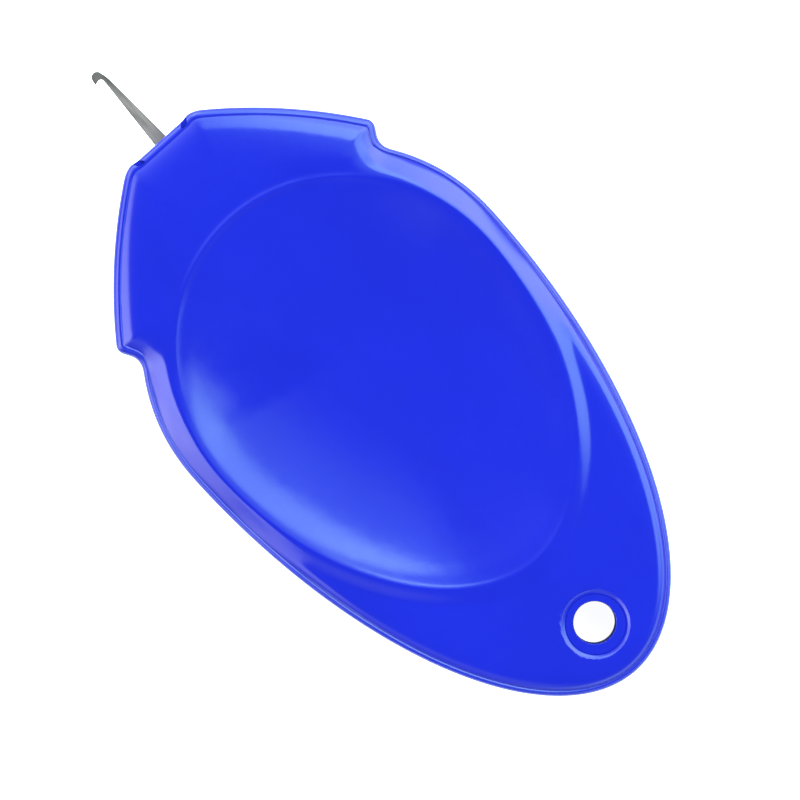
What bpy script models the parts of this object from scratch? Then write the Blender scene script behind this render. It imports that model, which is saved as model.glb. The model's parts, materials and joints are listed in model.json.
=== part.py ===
"""Retractable thread hook in a flat key-fob case.

X runs across the case, +Y towards the hook, +Z out of the dished front face. The back face
lies on Z = 0. The numbers below are millimetres; mesh_object turns them into metres.
"""
import math

import bmesh
import bpy
import numpy as np

METRES_PER_UNIT = 0.001

# Outline of the case, seen from the front
TAIL_Y = -37.5           # tail tip
NOSE_Y = 28.73           # corner tips beside the mouth
NOSE_CORNER_X = 3.44     # half the distance between those tips
LIP_X = 2.9              # half width of the lip between them
LIP_SET_BACK = 0.12      # the lip stands behind the corner tips
NOSE_ROUND = 0.5         # rounding behind each corner tip
HALF_WIDTH = 18.67       # widest half width of the body
WIDEST_Y = 3.0
BODY_FRONT_LENGTH = 20.63     # from the widest line to where the body curve would close
BODY_FRONT_POWERS = (1.5, 2.15)
BODY_TAIL_POWERS = (1.98, 1.96)
CHEEK_RADIUS = 51.4      # bulging side of the head
CHEEK_START = (3.73, 28.99)
CHEEK_END = (16.07, 16.73)
FLANK_SLOPE = 0.576      # underside of each shoulder, across per along
SHOULDER_BLEND = 0.74
VALLEY_BLEND = 1.22

# Front face. Tables run along Y, as (y, value).
PARTING_Z = 3.0
CREST_Z = 7.14
PLATEAU_DROPS = ((-11.0, 0.29), (-2.0, 0.55))     # how far the face lies below the crest
TAIL_FACE_Z = CREST_Z - PLATEAU_DROPS[0][1]
# The fine crease between the bead round the rim and the face
CREASE_INSETS = ((13.5, 0.55), (17.0, 0.8))
CREASE_HEIGHTS = ((-24.0, 6.49), (-10.0, 6.36), (-1.0, 6.09), (11.0, 6.09), (18.0, 6.62),
                  (28.0, 6.76))
CREASE_WIDTH = 0.12
CREASE_STEP = 0.04       # the bead stands this much above the crease
BEAD_HEIGHT = 0.5
WALL_DRAFT = 0.03
EDGE_FALLS = ((-16.0, 0.3), (-8.0, 0.42), (-2.0, 0.6), (12.0, 0.6), (18.0, 1.2))  # roll-off
HEAD_RISE_Y = (12.0, 16.0)    # the face rises to the head between these
PILLOW_WIDTHS = ((6.0, 1.9), (14.0, 3.3))     # of the slope outside the dish's crest
PILLOW_FADE_Y = (-15.0, -26.0)    # the slope sinks towards the tail end of the dish
PILLOW_FADE = 0.5

# Dish in the front face, and the fine raised lip on its crest
CENTRE_Y = 1.4           # both half superellipses of the dish meet on this line
DISH_HALF_WIDTH = 16.5
DISH_FRONT_LENGTH = 17.7
DISH_TAIL_LENGTH = 25.0
DISH_END_POWERS = (2.0, 1.9)      # front and tail
DISH_DEPTH = 1.3
DISH_POWERS = ((0.15, 3.0), (0.9, 1.6))   # (sine of the bearing, power): gentler at the front
RIDGE_BLEND = 0.3
RIDGE_WIDTH = 0.35       # outer side of the crest
LIP_HEIGHTS = (0.11, 0.035)       # front and tail
LIP_WIDTH = 0.33
LIP_INSETS = (0.28, 0.0)

# Pocket at either end of the nose lip, at +X; repeated at -X
NOSE_POCKET = ((3.25, 28.9), (2.66, 28.9), (2.66, 28.6), (2.25, 28.14), (2.5, 27.92), (3.0, 28.1),
               (3.25, 28.5))
NOSE_POCKET_Z = 6.45

# Shell walls and the seam; the back shell's tongue stands inside the front shell's skirt
WALL = 1.2
SEAM_GAP = 0.1
SKIRT_INSET = 0.7        # inner side of the front shell's skirt
TONGUE_INSETS = (0.82, 1.4)
TONGUE_TOP_Z = 3.4
FRONT_CORNER_INSETS = (1.7, 2.1, 3.2)     # inner corner of the front shell, up to its ceiling
FRONT_CORNER_Z = (4.6, 5.1)
BACK_EDGE_INSET = 1.1    # the flat back face ends this far inside the outline
# Section of the back shell, as (inset, z): its rounded edge, and its inner corner
BACK_EDGE = ((BACK_EDGE_INSET, 0.0), (0.65, 0.1), (0.3, 0.4), (0.08, 0.9), (0.0, 1.5))
BACK_CORNER = ((TONGUE_INSETS[1], 2.0), (WALL + 0.5, 1.4), (WALL + 1.1, WALL))

# Key ring hole, and the shallow ring sunk round it
HOLE_X, HOLE_Y = 0.1, -31.55
HOLE_RADIUS = 1.97
HOLE_BACK_EDGE = (0.2, 0.3)       # lead-in, across and along the hole
HOLE_FRONT_EDGE = (0.07, 0.08)
RING_X, RING_Y = 0.06, -31.74
RING_RADIUS = 3.22
RING_FLOOR_RADIUS = 2.86
RING_DEPTH = 0.11
BOSS_RADIUS = 3.4
BOSS_Z = (0.6, 6.0)

# Hook and its travel
HOOK_TRAVEL = 9.4
HOOK_Z = (2.75, 3.3)
HOOK_TIP_Y = 37.5
CROWN_RADIUS = 0.53
THROAT_RADIUS = 0.31
NECK_Y = 35.84           # the shank tapers from the mouth to here
SHANK_RIGHT_X = (0.74, 0.37)     # at the mouth, and at the neck
SHANK_LEFT_X = (-0.58, -0.14)
TANG_HALF_WIDTH = 1.1
TANG_Y = (16.4, 22.6)
RIVET_Y = 18.6
RIVET_RADIUS = 0.5
RIVET_HEAD_RADIUS = 0.95

# Carriage, inside
CARRIAGE_HALF_WIDTH = 2.75
CARRIAGE_Y = (11.0, 24.0)
CARRIAGE_Z = (2.0, 4.35)
CLEARANCE = 0.15

# Thumb slide and its recess in the back
THUMB_Y = (9.3, 17.3)
THUMB_HALF_WIDTH = 4.6
THUMB_Z = (0.15, 0.75)
RECESS_MARGIN = 0.5
RECESS_DEPTH = 0.9
RECESS_CORNER = 1.6
RECESS_WALL = 0.9        # round the recess, inside the case
RECESS_FLOOR_Z = 1.85    # inner side of the raised floor over the recess
STEM_HALF_WIDTH = 1.0
STEM_Y = (11.9, 14.7)
STEM_TOP_Z = 4.2

# Rails, detent and pins
RAIL_X = (2.95, 4.35)
RAIL_Y = (-0.4, 26.3)
RAIL_TOP_Z = 4.4
SPRING_Y = (15.7, 23.3)
SPRING_Z = (2.95, 4.15)
SPRING_THICKNESS = 0.2
SPRING_SEAT_X = 2.15
SPRING_NIB_X = 3.38
DETENT_NOTCH = (0.6, 0.35)       # half length and depth
DETENT_RUN_OUT = 1.2
PIN_PLACES = ((10.2, 14.5), (14.2, -4.0), (9.0, -20.5))     # repeated at -X
PIN_RADIUS = 0.9
PIN_TIP_RADIUS = 0.63
PIN_TIP_Z = (1.7, 2.1)
SOCKET_BORE = 1.05
SOCKET_RADIUS = 1.9
SOCKET_Z = (0.6, 3.6)
SOCKET_FLOOR_Z = 1.4
HOLD_DOWN_RIB_X = 2.2    # ribs over the carriage, repeated at -X
HOLD_DOWN_RIB_Y = (3.0, 26.6)
HOLD_DOWN_RIB_Z = 4.55
HOLD_DOWN_RIB_WIDTH = 0.7
ROOT_DEPTH = 0.5         # pins and ribs reach this close to the outer face

ROUND_SIDES = 20


# --- outline -----------------------------------------------------------------------------

def smooth_min(a, b, blend):
    """The smaller of two curves, with their crossing rounded off."""
    h = np.clip(0.5 + 0.5 * (b - a) / blend, 0.0, 1.0)
    return b + (a - b) * h - blend * h * (1.0 - h)


def smooth_max(a, b, blend):
    return -smooth_min(-a, -b, blend)


def smooth_step(t):
    t = np.clip(t, 0.0, 1.0)
    return t * t * (3.0 - 2.0 * t)


def step_between(value, limits):
    """Rises smoothly from 0 at the first limit to 1 at the second."""
    return smooth_step((value - limits[0]) / (limits[1] - limits[0]))


def graded(y, stops):
    """Runs smoothly through (y, value) stops, and stays level beyond the first and the last."""
    at, values = np.array(stops).T
    k = np.clip(np.searchsorted(at, y) - 1, 0, len(at) - 2)
    return values[k] + (values[k + 1] - values[k]) * smooth_step((y - at[k]) / (at[k + 1] - at[k]))


def body_half_width(y):
    """Two halves of a superellipse that meet at the widest line."""
    tail = np.clip((WIDEST_Y - y) / (WIDEST_Y - TAIL_Y), 0.0, 1.0)
    front = np.clip((y - WIDEST_Y) / BODY_FRONT_LENGTH, 0.0, 1.0)
    across, along = BODY_TAIL_POWERS
    tail_x = (1.0 - tail ** along) ** (1.0 / across)
    across, along = BODY_FRONT_POWERS
    front_x = (1.0 - front ** along) ** (1.0 / across)
    return HALF_WIDTH * np.where(y < WIDEST_Y, tail_x, front_x)


def cheek_half_width(y):
    """The arc from the nose to the shoulder."""
    start, end = np.array(CHEEK_START), np.array(CHEEK_END)
    chord = end - start
    half = np.hypot(*chord) / 2.0
    inward = np.array((chord[1], -chord[0])) / (2.0 * half)
    centre = (start + end) / 2.0 + inward * math.sqrt(CHEEK_RADIUS ** 2 - half ** 2)
    return centre[0] + np.sqrt(np.maximum(CHEEK_RADIUS ** 2 - (y - centre[1]) ** 2, 0.0))


def half_width(y):
    """Half the width of the case: body, notch, shoulder, cheek and nose corner."""
    y = np.asarray(y, dtype=float)
    flank = CHEEK_END[0] - FLANK_SLOPE * (CHEEK_END[1] - y)
    head = smooth_min(cheek_half_width(y), flank, SHOULDER_BLEND)
    width = smooth_max(body_half_width(y), head, VALLEY_BLEND)
    corner = np.clip((y - NOSE_Y + NOSE_ROUND) / NOSE_ROUND, 0.0, 1.0)
    drop = cheek_half_width(NOSE_Y) - NOSE_CORNER_X
    return width - drop * (1.0 - np.sqrt(1.0 - corner ** 2))


def outline():
    """Points of the whole outline, clockwise from the middle of the nose."""
    lip_y = NOSE_Y - LIP_SET_BACK
    half = [(0.0, lip_y), (LIP_X / 2.0, lip_y), (LIP_X, lip_y), (NOSE_CORNER_X, NOSE_Y)]
    stations = np.concatenate((
        NOSE_Y - NOSE_ROUND * np.array((0.1, 0.45, 1.0)),
        np.linspace(27.0, 17.8, 6),
        np.linspace(17.2, 13.0, 12),
        np.linspace(12.0, WIDEST_Y, 6)[:-1],
    ))
    half += [(float(half_width(y)), float(y)) for y in stations]
    across, along = BODY_TAIL_POWERS
    for angle in np.linspace(0.0, math.pi / 2.0, 20)[:-1]:
        half.append((HALF_WIDTH * math.cos(angle) ** (2.0 / across),
                     WIDEST_Y - (WIDEST_Y - TAIL_Y) * math.sin(angle) ** (2.0 / along)))
    left = [(-x, y) for x, y in reversed(half[1:])]
    return np.array(half + [(0.0, TAIL_Y)] + left)


OUTLINE = outline()
BEARINGS = np.arctan2(OUTLINE[:, 1] - CENTRE_Y, OUTLINE[:, 0])
OUTLINE_RADII = np.hypot(OUTLINE[:, 0], OUTLINE[:, 1] - CENTRE_Y)


def edge_distance(x, y):
    """How far each point lies from the outline."""
    a = OUTLINE
    along = np.roll(OUTLINE, -1, axis=0) - a
    to_x, to_y = x[:, None] - a[:, 0], y[:, None] - a[:, 1]
    t = (to_x * along[:, 0] + to_y * along[:, 1]) / (along ** 2).sum(axis=1)
    t = np.clip(t, 0.0, 1.0)
    return np.hypot(to_x - t * along[:, 0], to_y - t * along[:, 1]).min(axis=1)


def inset_radii(inset):
    """On each bearing, the distance from the centre that lies this far inside the outline."""
    near, far = np.zeros_like(OUTLINE_RADII), OUTLINE_RADII.copy()
    for _ in range(30):
        middle = (near + far) / 2.0
        x, y = middle * np.cos(BEARINGS), CENTRE_Y + middle * np.sin(BEARINGS)
        inside = edge_distance(x, y) > inset
        near, far = np.where(inside, middle, near), np.where(inside, far, middle)
    return near


def dish_radii(bearings):
    """The dish's crest: two half superellipses that share their width."""
    front = np.sin(bearings) > 0.0
    power = np.where(front, *DISH_END_POWERS)
    length = np.where(front, DISH_FRONT_LENGTH, DISH_TAIL_LENGTH)
    across = np.abs(np.cos(bearings) / DISH_HALF_WIDTH) ** power
    return (across + np.abs(np.sin(bearings) / length) ** power) ** (-1.0 / power)


def outer_height(x, y):
    """The face outside the dish: head, tail and pillow slope, which roll off to the crease."""
    bearing = np.arctan2(y - CENTRE_Y, x)
    beyond = np.hypot(x, y - CENTRE_Y) - dish_radii(bearing)
    slope = (1.0 - np.clip(beyond / graded(y, PILLOW_WIDTHS), 0.0, 1.0) ** 1.5) ** 2
    slope *= 1.0 - PILLOW_FADE * step_between(y, PILLOW_FADE_Y)
    head = step_between(y, HEAD_RISE_Y)
    plateau = CREST_Z - graded(y, PLATEAU_DROPS) * (1.0 - slope) * (1.0 - head)
    depth = np.maximum(edge_distance(x, y) - graded(y, CREASE_INSETS), 0.0)
    crease = graded(y, CREASE_HEIGHTS)
    return plateau - (plateau - crease) * np.exp(-depth / graded(y, EDGE_FALLS))


CREST_RADII = dish_radii(BEARINGS)
CREST_HEIGHTS = outer_height(CREST_RADII * np.cos(BEARINGS),
                             CENTRE_Y + CREST_RADII * np.sin(BEARINGS))


def face_height(x, y):
    """Height of the whole front face inside its crease."""
    bearing = np.arctan2(y - CENTRE_Y, x)
    radius, crest = np.hypot(x, y - CENTRE_Y), dish_radii(bearing)
    crest_z = np.interp(bearing, BEARINGS, CREST_HEIGHTS, period=2.0 * math.pi)
    bottom = CREST_Z - DISH_DEPTH
    bowl = bottom + (crest_z - bottom) * (radius / crest) ** graded(np.sin(bearing), DISH_POWERS)
    front = y > CENTRE_Y
    from_lip = (radius - crest + np.where(front, *LIP_INSETS)) / LIP_WIDTH
    lip = np.where(front, *LIP_HEIGHTS) * np.sin(bearing) ** 4 * np.exp(-from_lip ** 2)
    return smooth_min(outer_height(x, y), bowl, RIDGE_BLEND) + lip


# --- meshes ------------------------------------------------------------------------------

def material(name, colour, roughness, metallic=0.0):
    made = bpy.data.materials.new(name)
    made.use_nodes = True
    shader = made.node_tree.nodes["Principled BSDF"]
    shader.inputs["Base Color"].default_value = (*colour, 1.0)
    shader.inputs["Roughness"].default_value = roughness
    shader.inputs["Metallic"].default_value = metallic
    return made


def mesh_object(name, bm, finish=None, smooth_angle=30.0):
    """Scales the mesh to metres and makes its object, with smooth round faces."""
    bmesh.ops.recalc_face_normals(bm, faces=bm.faces)
    bmesh.ops.scale(bm, vec=(METRES_PER_UNIT,) * 3, verts=bm.verts)
    mesh = bpy.data.meshes.new(name)
    bm.to_mesh(mesh)
    bm.free()
    mesh.shade_smooth()
    mesh.set_sharp_from_angle(angle=math.radians(smooth_angle))
    if finish is not None:
        mesh.materials.append(finish)
    made = bpy.data.objects.new(name, mesh)
    bpy.context.scene.collection.objects.link(made)
    return made


def boolean(target, operation, name, bm):
    """Adds or cuts the given solids with a Boolean modifier on the target."""
    tool = mesh_object(name, bm)
    tool.hide_render = True
    tool.display_type = "WIRE"
    modifier = target.modifiers.new(name, "BOOLEAN")
    modifier.operation = operation
    modifier.solver = "EXACT"
    modifier.object = tool


def add_prism(bm, corners, low, high, axis="z"):
    """A closed prism over a polygon. Its corners are (x, y), or (y, z) when axis is x."""
    def at(corner, level):
        return (*corner, level) if axis == "z" else (level, *corner)
    bottom = [bm.verts.new(at(corner, low)) for corner in corners]
    top = [bm.verts.new(at(corner, high)) for corner in corners]
    bm.faces.new(bottom)
    bm.faces.new(reversed(top))
    for i in range(len(corners)):
        j = (i + 1) % len(corners)
        bm.faces.new((bottom[j], bottom[i], top[i], top[j]))


def add_block(bm, x, y, z):
    """A box between pairs of limits."""
    add_prism(bm, ((x[0], y[0]), (x[1], y[0]), (x[1], y[1]), (x[0], y[1])), *z)


def rounded_rectangle(x, y, radius, steps=4):
    corners = []
    centres = ((x[1] - radius, y[1] - radius, 0), (x[0] + radius, y[1] - radius, 1),
               (x[0] + radius, y[0] + radius, 2), (x[1] - radius, y[0] + radius, 3))
    for cx, cy, quarter in centres:
        for step in range(steps + 1):
            angle = math.pi / 2.0 * (quarter + step / steps)
            corners.append((cx + radius * math.cos(angle), cy + radius * math.sin(angle)))
    return corners


def circle(x, y, radius, sides=ROUND_SIDES):
    angles = (2.0 * math.pi * i / sides for i in range(sides))
    return [(x + radius * math.cos(a), y + radius * math.sin(a)) for a in angles]


def add_turned(bm, x, y, profile, sides=ROUND_SIDES):
    """A solid turned about a line along Z. The profile's ends are (radius, z), off the axis."""
    rings = [[bm.verts.new((px, py, z)) for px, py in circle(x, y, radius, sides)]
             for radius, z in profile]
    bm.faces.new(rings[0])
    bm.faces.new(reversed(rings[-1]))
    for lower, upper in zip(rings, rings[1:]):
        for i in range(sides):
            j = (i + 1) % sides
            bm.faces.new((lower[j], lower[i], upper[i], upper[j]))


def add_loft(bm, rings, first_centre, last_centre):
    """Joins rings of points one after the other, and closes both ends onto a centre point."""
    made = [[bm.verts.new(point) for point in ring] for ring in rings]
    count = len(made[0])
    for lower, upper in zip(made, made[1:]):
        for i in range(count):
            j = (i + 1) % count
            bm.faces.new((lower[i], lower[j], upper[j], upper[i]))
    for ring, centre, flip in ((made[0], first_centre, True), (made[-1], last_centre, False)):
        middle = bm.verts.new(centre)
        for i in range(count):
            j = (i + 1) % count
            a, b = (ring[j], ring[i]) if flip else (ring[i], ring[j])
            bm.faces.new((a, b, middle))


def ring_at(radii, height):
    """One ring of points; height is a number, one for each bearing, or a function of x and y."""
    x, y = radii * np.cos(BEARINGS), CENTRE_Y + radii * np.sin(BEARINGS)
    z = height(x, y) if callable(height) else np.broadcast_to(height, x.shape)
    return list(zip(x.tolist(), y.tolist(), z.tolist()))


# --- front shell -------------------------------------------------------------------------

def between(low, high, shares):
    """Radii at the given shares of the way from low to high."""
    return [low + (high - low) * share for share in shares]


def front_rings():
    """Rings from the dish's middle out over the crest and the bead to the seam, and back inside."""
    crease_at, crease_z = (graded(OUTLINE[:, 1], t) for t in (CREASE_INSETS, CREASE_HEIGHTS))
    crease = inset_radii(crease_at)
    lip_top = CREST_RADII - LIP_INSETS[0]
    ridge = CREST_RADII + RIDGE_WIDTH
    foot = np.minimum(CREST_RADII + PILLOW_WIDTHS[0][1], (ridge + crease) / 2.0)
    radii = between(0.0, lip_top, (0.15, 0.32, 0.48, 0.62, 0.74, 0.83, 0.9, 0.95, 0.98, 1.0))
    radii += [CREST_RADII, ridge]
    radii += between(ridge, foot, (0.33, 0.67, 1.0))
    radii += between(foot, crease, (0.3, 0.55, 0.75, 0.88, 0.95, 1.0))
    rings = [ring_at(r, face_height) for r in radii]
    bead_top = crease_at - CREASE_WIDTH
    bead = [(bead_top - (bead_top - WALL_DRAFT) * math.sin(a),
             crease_z + CREASE_STEP - BEAD_HEIGHT * (1.0 - math.cos(a)))
            for a in np.radians((0.0, 25.0, 50.0, 72.0, 90.0))]
    rings += [ring_at(inset_radii(inset), z) for inset, z in bead]
    seam = PARTING_Z + SEAM_GAP / 2.0
    rings.append(ring_at(OUTLINE_RADII, seam))
    skirt = inset_radii(SKIRT_INSET)
    inner, corner, shoulder = (inset_radii(inset) for inset in FRONT_CORNER_INSETS)
    rings += [ring_at(skirt, seam), ring_at(skirt, TONGUE_TOP_Z + SEAM_GAP)]
    rings += [ring_at(inner, TONGUE_TOP_Z + SEAM_GAP), ring_at(inner, FRONT_CORNER_Z[0])]
    rings += [ring_at(corner, FRONT_CORNER_Z[1])]

    def under(x, y):
        return face_height(x, y) - WALL
    under_dish = np.minimum(CREST_RADII, shoulder - 0.3)
    rings.append(ring_at(shoulder, under))
    return rings + [ring_at(under_dish * share, under) for share in (1.0, 0.88, 0.7, 0.35)]


def front_inner_features():
    """Hole boss, snap pins and the two ribs that hold the carriage down."""
    bm = bmesh.new()
    add_turned(bm, HOLE_X, HOLE_Y, ((BOSS_RADIUS, PARTING_Z + SEAM_GAP), (BOSS_RADIUS, BOSS_Z[1])))
    for x, y in PIN_PLACES:
        top = float(face_height(np.array([x]), np.array([y]))[0]) - ROOT_DEPTH
        pin = ((PIN_TIP_RADIUS, PIN_TIP_Z[0]), (PIN_RADIUS, PIN_TIP_Z[1]), (PIN_RADIUS, top))
        for side in (-1.0, 1.0):
            add_turned(bm, side * x, y, pin, sides=12)
    first, last = HOLD_DOWN_RIB_Y
    along = np.linspace(first, last, 9)
    half = HOLD_DOWN_RIB_WIDTH / 2.0
    for x in (-HOLD_DOWN_RIB_X, HOLD_DOWN_RIB_X):
        tops = face_height(np.full_like(along, x), along) - ROOT_DEPTH
        side = [(float(y), float(z)) for y, z in zip(along, tops)]
        side = [(first, HOLD_DOWN_RIB_Z)] + side + [(last, HOLD_DOWN_RIB_Z)]
        add_prism(bm, side, x - half, x + half, axis="x")
    return bm


def hole_cutter():
    """The key ring hole, with a lead-in at the back and a small rounded edge at the front."""
    top = TAIL_FACE_Z - RING_DEPTH
    back = HOLE_RADIUS + HOLE_BACK_EDGE[0]
    front = HOLE_RADIUS + HOLE_FRONT_EDGE[0]
    bm = bmesh.new()
    add_turned(bm, HOLE_X, HOLE_Y, (
        (back, -1.0), (back, 0.0), (HOLE_RADIUS, HOLE_BACK_EDGE[1]),
        (HOLE_RADIUS, top - HOLE_FRONT_EDGE[1]), (front, top), (front, top + 1.0),
    ), sides=32)
    return bm


def sunk_ring_cutter():
    """The shallow ring sunk into the face round the hole, with a soft slope at its rim."""
    floor, width = TAIL_FACE_Z - RING_DEPTH, RING_RADIUS - RING_FLOOR_RADIUS
    slope = [(RING_FLOOR_RADIUS + width * u, floor + RING_DEPTH * u ** 1.5) for u in (0.0, 0.5, 1.1)]
    bm = bmesh.new()
    add_turned(bm, RING_X, RING_Y, [(0.5, floor), *slope, (slope[-1][0], TAIL_FACE_Z + 0.5)],
               sides=40)
    return bm


def nose_pockets():
    bm = bmesh.new()
    for side in (-1.0, 1.0):
        add_prism(bm, [(side * x, y) for x, y in NOSE_POCKET], NOSE_POCKET_Z, CREST_Z)
    return bm


def mouth_cutter(low, high):
    bm = bmesh.new()
    add_block(bm, (-LIP_X, LIP_X), (NOSE_Y - 3.0, NOSE_Y + 1.0), (low, high))
    return bm


def make_front_shell(finish):
    bm = bmesh.new()
    middle = CREST_Z - DISH_DEPTH
    add_loft(bm, front_rings(), (0.0, CENTRE_Y, middle), (0.0, CENTRE_Y, middle - WALL))
    shell = mesh_object("front_shell", bm, finish)
    boolean(shell, "UNION", "front_shell_ribs", front_inner_features())
    boolean(shell, "DIFFERENCE", "front_shell_hole", hole_cutter())
    boolean(shell, "DIFFERENCE", "front_shell_sunk_ring", sunk_ring_cutter())
    boolean(shell, "DIFFERENCE", "front_shell_pockets", nose_pockets())
    boolean(shell, "DIFFERENCE", "front_shell_mouth", mouth_cutter(PARTING_Z - 1.0, 3.75))
    return shell


# --- back shell --------------------------------------------------------------------------

def back_rings():
    """Rings from the middle of the flat back out to the seam, and back over the floor."""
    seam = PARTING_Z - SEAM_GAP / 2.0
    tongue = ((TONGUE_INSETS[0], seam), (TONGUE_INSETS[0], TONGUE_TOP_Z),
              (TONGUE_INSETS[1], TONGUE_TOP_Z))
    section = BACK_EDGE + ((0.0, seam),) + tongue + BACK_CORNER
    rings = [ring_at(inset_radii(BACK_EDGE_INSET) * 0.5, 0.0)]
    rings += [ring_at(inset_radii(inset), z) for inset, z in section]
    rings.append(ring_at(inset_radii(BACK_CORNER[-1][0]) * 0.5, WALL))
    return rings


def recess_limits(margin):
    """The thumb slide's whole path with a margin round it."""
    x = THUMB_HALF_WIDTH + margin
    return (-x, x), (THUMB_Y[0] - HOOK_TRAVEL - margin, THUMB_Y[1] + margin)


def back_inner_features():
    """Hole boss, sockets for the pins, the raised floor over the recess, and two rails."""
    bm = bmesh.new()
    seam = PARTING_Z - SEAM_GAP
    add_turned(bm, HOLE_X, HOLE_Y, ((BOSS_RADIUS, BOSS_Z[0]), (BOSS_RADIUS, seam)))
    for x, y in PIN_PLACES:
        for side in (-1.0, 1.0):
            add_turned(bm, side * x, y, [(SOCKET_RADIUS, z) for z in SOCKET_Z], sides=16)
    x, y = recess_limits(RECESS_MARGIN + RECESS_WALL)
    add_prism(bm, rounded_rectangle(x, y, RECESS_CORNER + 0.8), BOSS_Z[0], RECESS_FLOOR_Z)
    return bm


def rails():
    bm = bmesh.new()
    for x in (RAIL_X, (-RAIL_X[1], -RAIL_X[0])):
        add_block(bm, x, RAIL_Y, (0.7, RAIL_TOP_Z))
    return bm


def socket_bores():
    bm = bmesh.new()
    for x, y in PIN_PLACES:
        for side in (-1.0, 1.0):
            add_turned(bm, side * x, y, ((SOCKET_BORE, SOCKET_FLOOR_Z),
                                         (SOCKET_BORE, SOCKET_Z[1] + 1.0)), sides=16)
    return bm


def recess_cutter():
    bm = bmesh.new()
    x, y = recess_limits(RECESS_MARGIN)
    add_prism(bm, rounded_rectangle(x, y, RECESS_CORNER), -1.0, RECESS_DEPTH)
    return bm


def slot_cutter():
    x = STEM_HALF_WIDTH + CLEARANCE
    bm = bmesh.new()
    limits = (STEM_Y[0] - HOOK_TRAVEL - CLEARANCE, STEM_Y[1] + CLEARANCE)
    add_block(bm, (-x, x), limits, (RECESS_DEPTH - 0.4, RECESS_FLOOR_Z + 1.0))
    return bm


def detent_track():
    """Relief beside the spring's nib, with a deeper notch at each end of the travel."""
    nib = (SPRING_Y[0] + SPRING_Y[1]) / 2.0
    land = SPRING_NIB_X + CLEARANCE
    open_side = RAIL_X[0] - 0.5
    first, last = nib - HOOK_TRAVEL - DETENT_RUN_OUT, nib + DETENT_RUN_OUT
    half, depth = DETENT_NOTCH
    path = [(open_side, first), (land, first)]
    for y in (nib - HOOK_TRAVEL, nib):
        path += [(land, y - half), (land + depth, y), (land, y + half)]
    path += [(land, last), (open_side, last)]
    bm = bmesh.new()
    add_prism(bm, path, SPRING_Z[0] - CLEARANCE, RAIL_TOP_Z + 1.0)
    return bm


def make_back_shell(finish):
    bm = bmesh.new()
    add_loft(bm, back_rings(), (0.0, CENTRE_Y, 0.0), (0.0, CENTRE_Y, WALL))
    shell = mesh_object("back_shell", bm, finish)
    boolean(shell, "UNION", "back_shell_bosses", back_inner_features())
    boolean(shell, "UNION", "back_shell_rails", rails())
    boolean(shell, "DIFFERENCE", "back_shell_sockets", socket_bores())
    boolean(shell, "DIFFERENCE", "back_shell_recess", recess_cutter())
    boolean(shell, "DIFFERENCE", "back_shell_slot", slot_cutter())
    boolean(shell, "DIFFERENCE", "back_shell_hole", hole_cutter())
    boolean(shell, "DIFFERENCE", "back_shell_track", detent_track())
    boolean(shell, "DIFFERENCE", "back_shell_mouth", mouth_cutter(2.3, PARTING_Z + 1.0))
    return shell


# --- slider ------------------------------------------------------------------------------

def arc(centre, radius, start, end, steps):
    """Points along an arc between two angles in degrees."""
    angles = np.radians(np.linspace(start, end, steps))
    return [(centre[0] + radius * math.cos(a), centre[1] + radius * math.sin(a)) for a in angles]


def hook_outline():
    """The stamped hook from its tang to the barb, which points to -X and a little back."""
    nose = NOSE_Y - LIP_SET_BACK
    shank_root = TANG_Y[1] + 0.8
    right = [(TANG_HALF_WIDTH, TANG_Y[0]), (TANG_HALF_WIDTH, TANG_Y[1]),
             (SHANK_RIGHT_X[0], shank_root), (SHANK_RIGHT_X[0], nose),
             (SHANK_RIGHT_X[1], NECK_Y), (SHANK_RIGHT_X[1] - 0.07, NECK_Y + 0.65)]
    crown = arc((-0.37, HOOK_TIP_Y - CROWN_RADIUS), CROWN_RADIUS, 22.0, 168.0, 9)
    barb = [(-0.96, HOOK_TIP_Y - 0.95), (-0.74, HOOK_TIP_Y - 0.88)]
    throat = arc((-0.45, HOOK_TIP_Y - 1.13), THROAT_RADIUS, 100.0, 0.0, 6)
    left = [(SHANK_LEFT_X[1], NECK_Y), (SHANK_LEFT_X[0], nose), (SHANK_LEFT_X[0], shank_root),
            (-TANG_HALF_WIDTH, TANG_Y[1]), (-TANG_HALF_WIDTH, TANG_Y[0])]
    return right + crown + barb + throat + left


def make_hook(finish):
    bm = bmesh.new()
    add_prism(bm, hook_outline(), *HOOK_Z)
    hook = mesh_object("hook", bm, finish)
    hole = bmesh.new()
    add_turned(hole, 0.0, RIVET_Y, ((RIVET_RADIUS + 0.1, 1.0), (RIVET_RADIUS + 0.1, 5.0)), sides=16)
    boolean(hook, "DIFFERENCE", "hook_rivet_hole", hole)
    return hook


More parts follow.
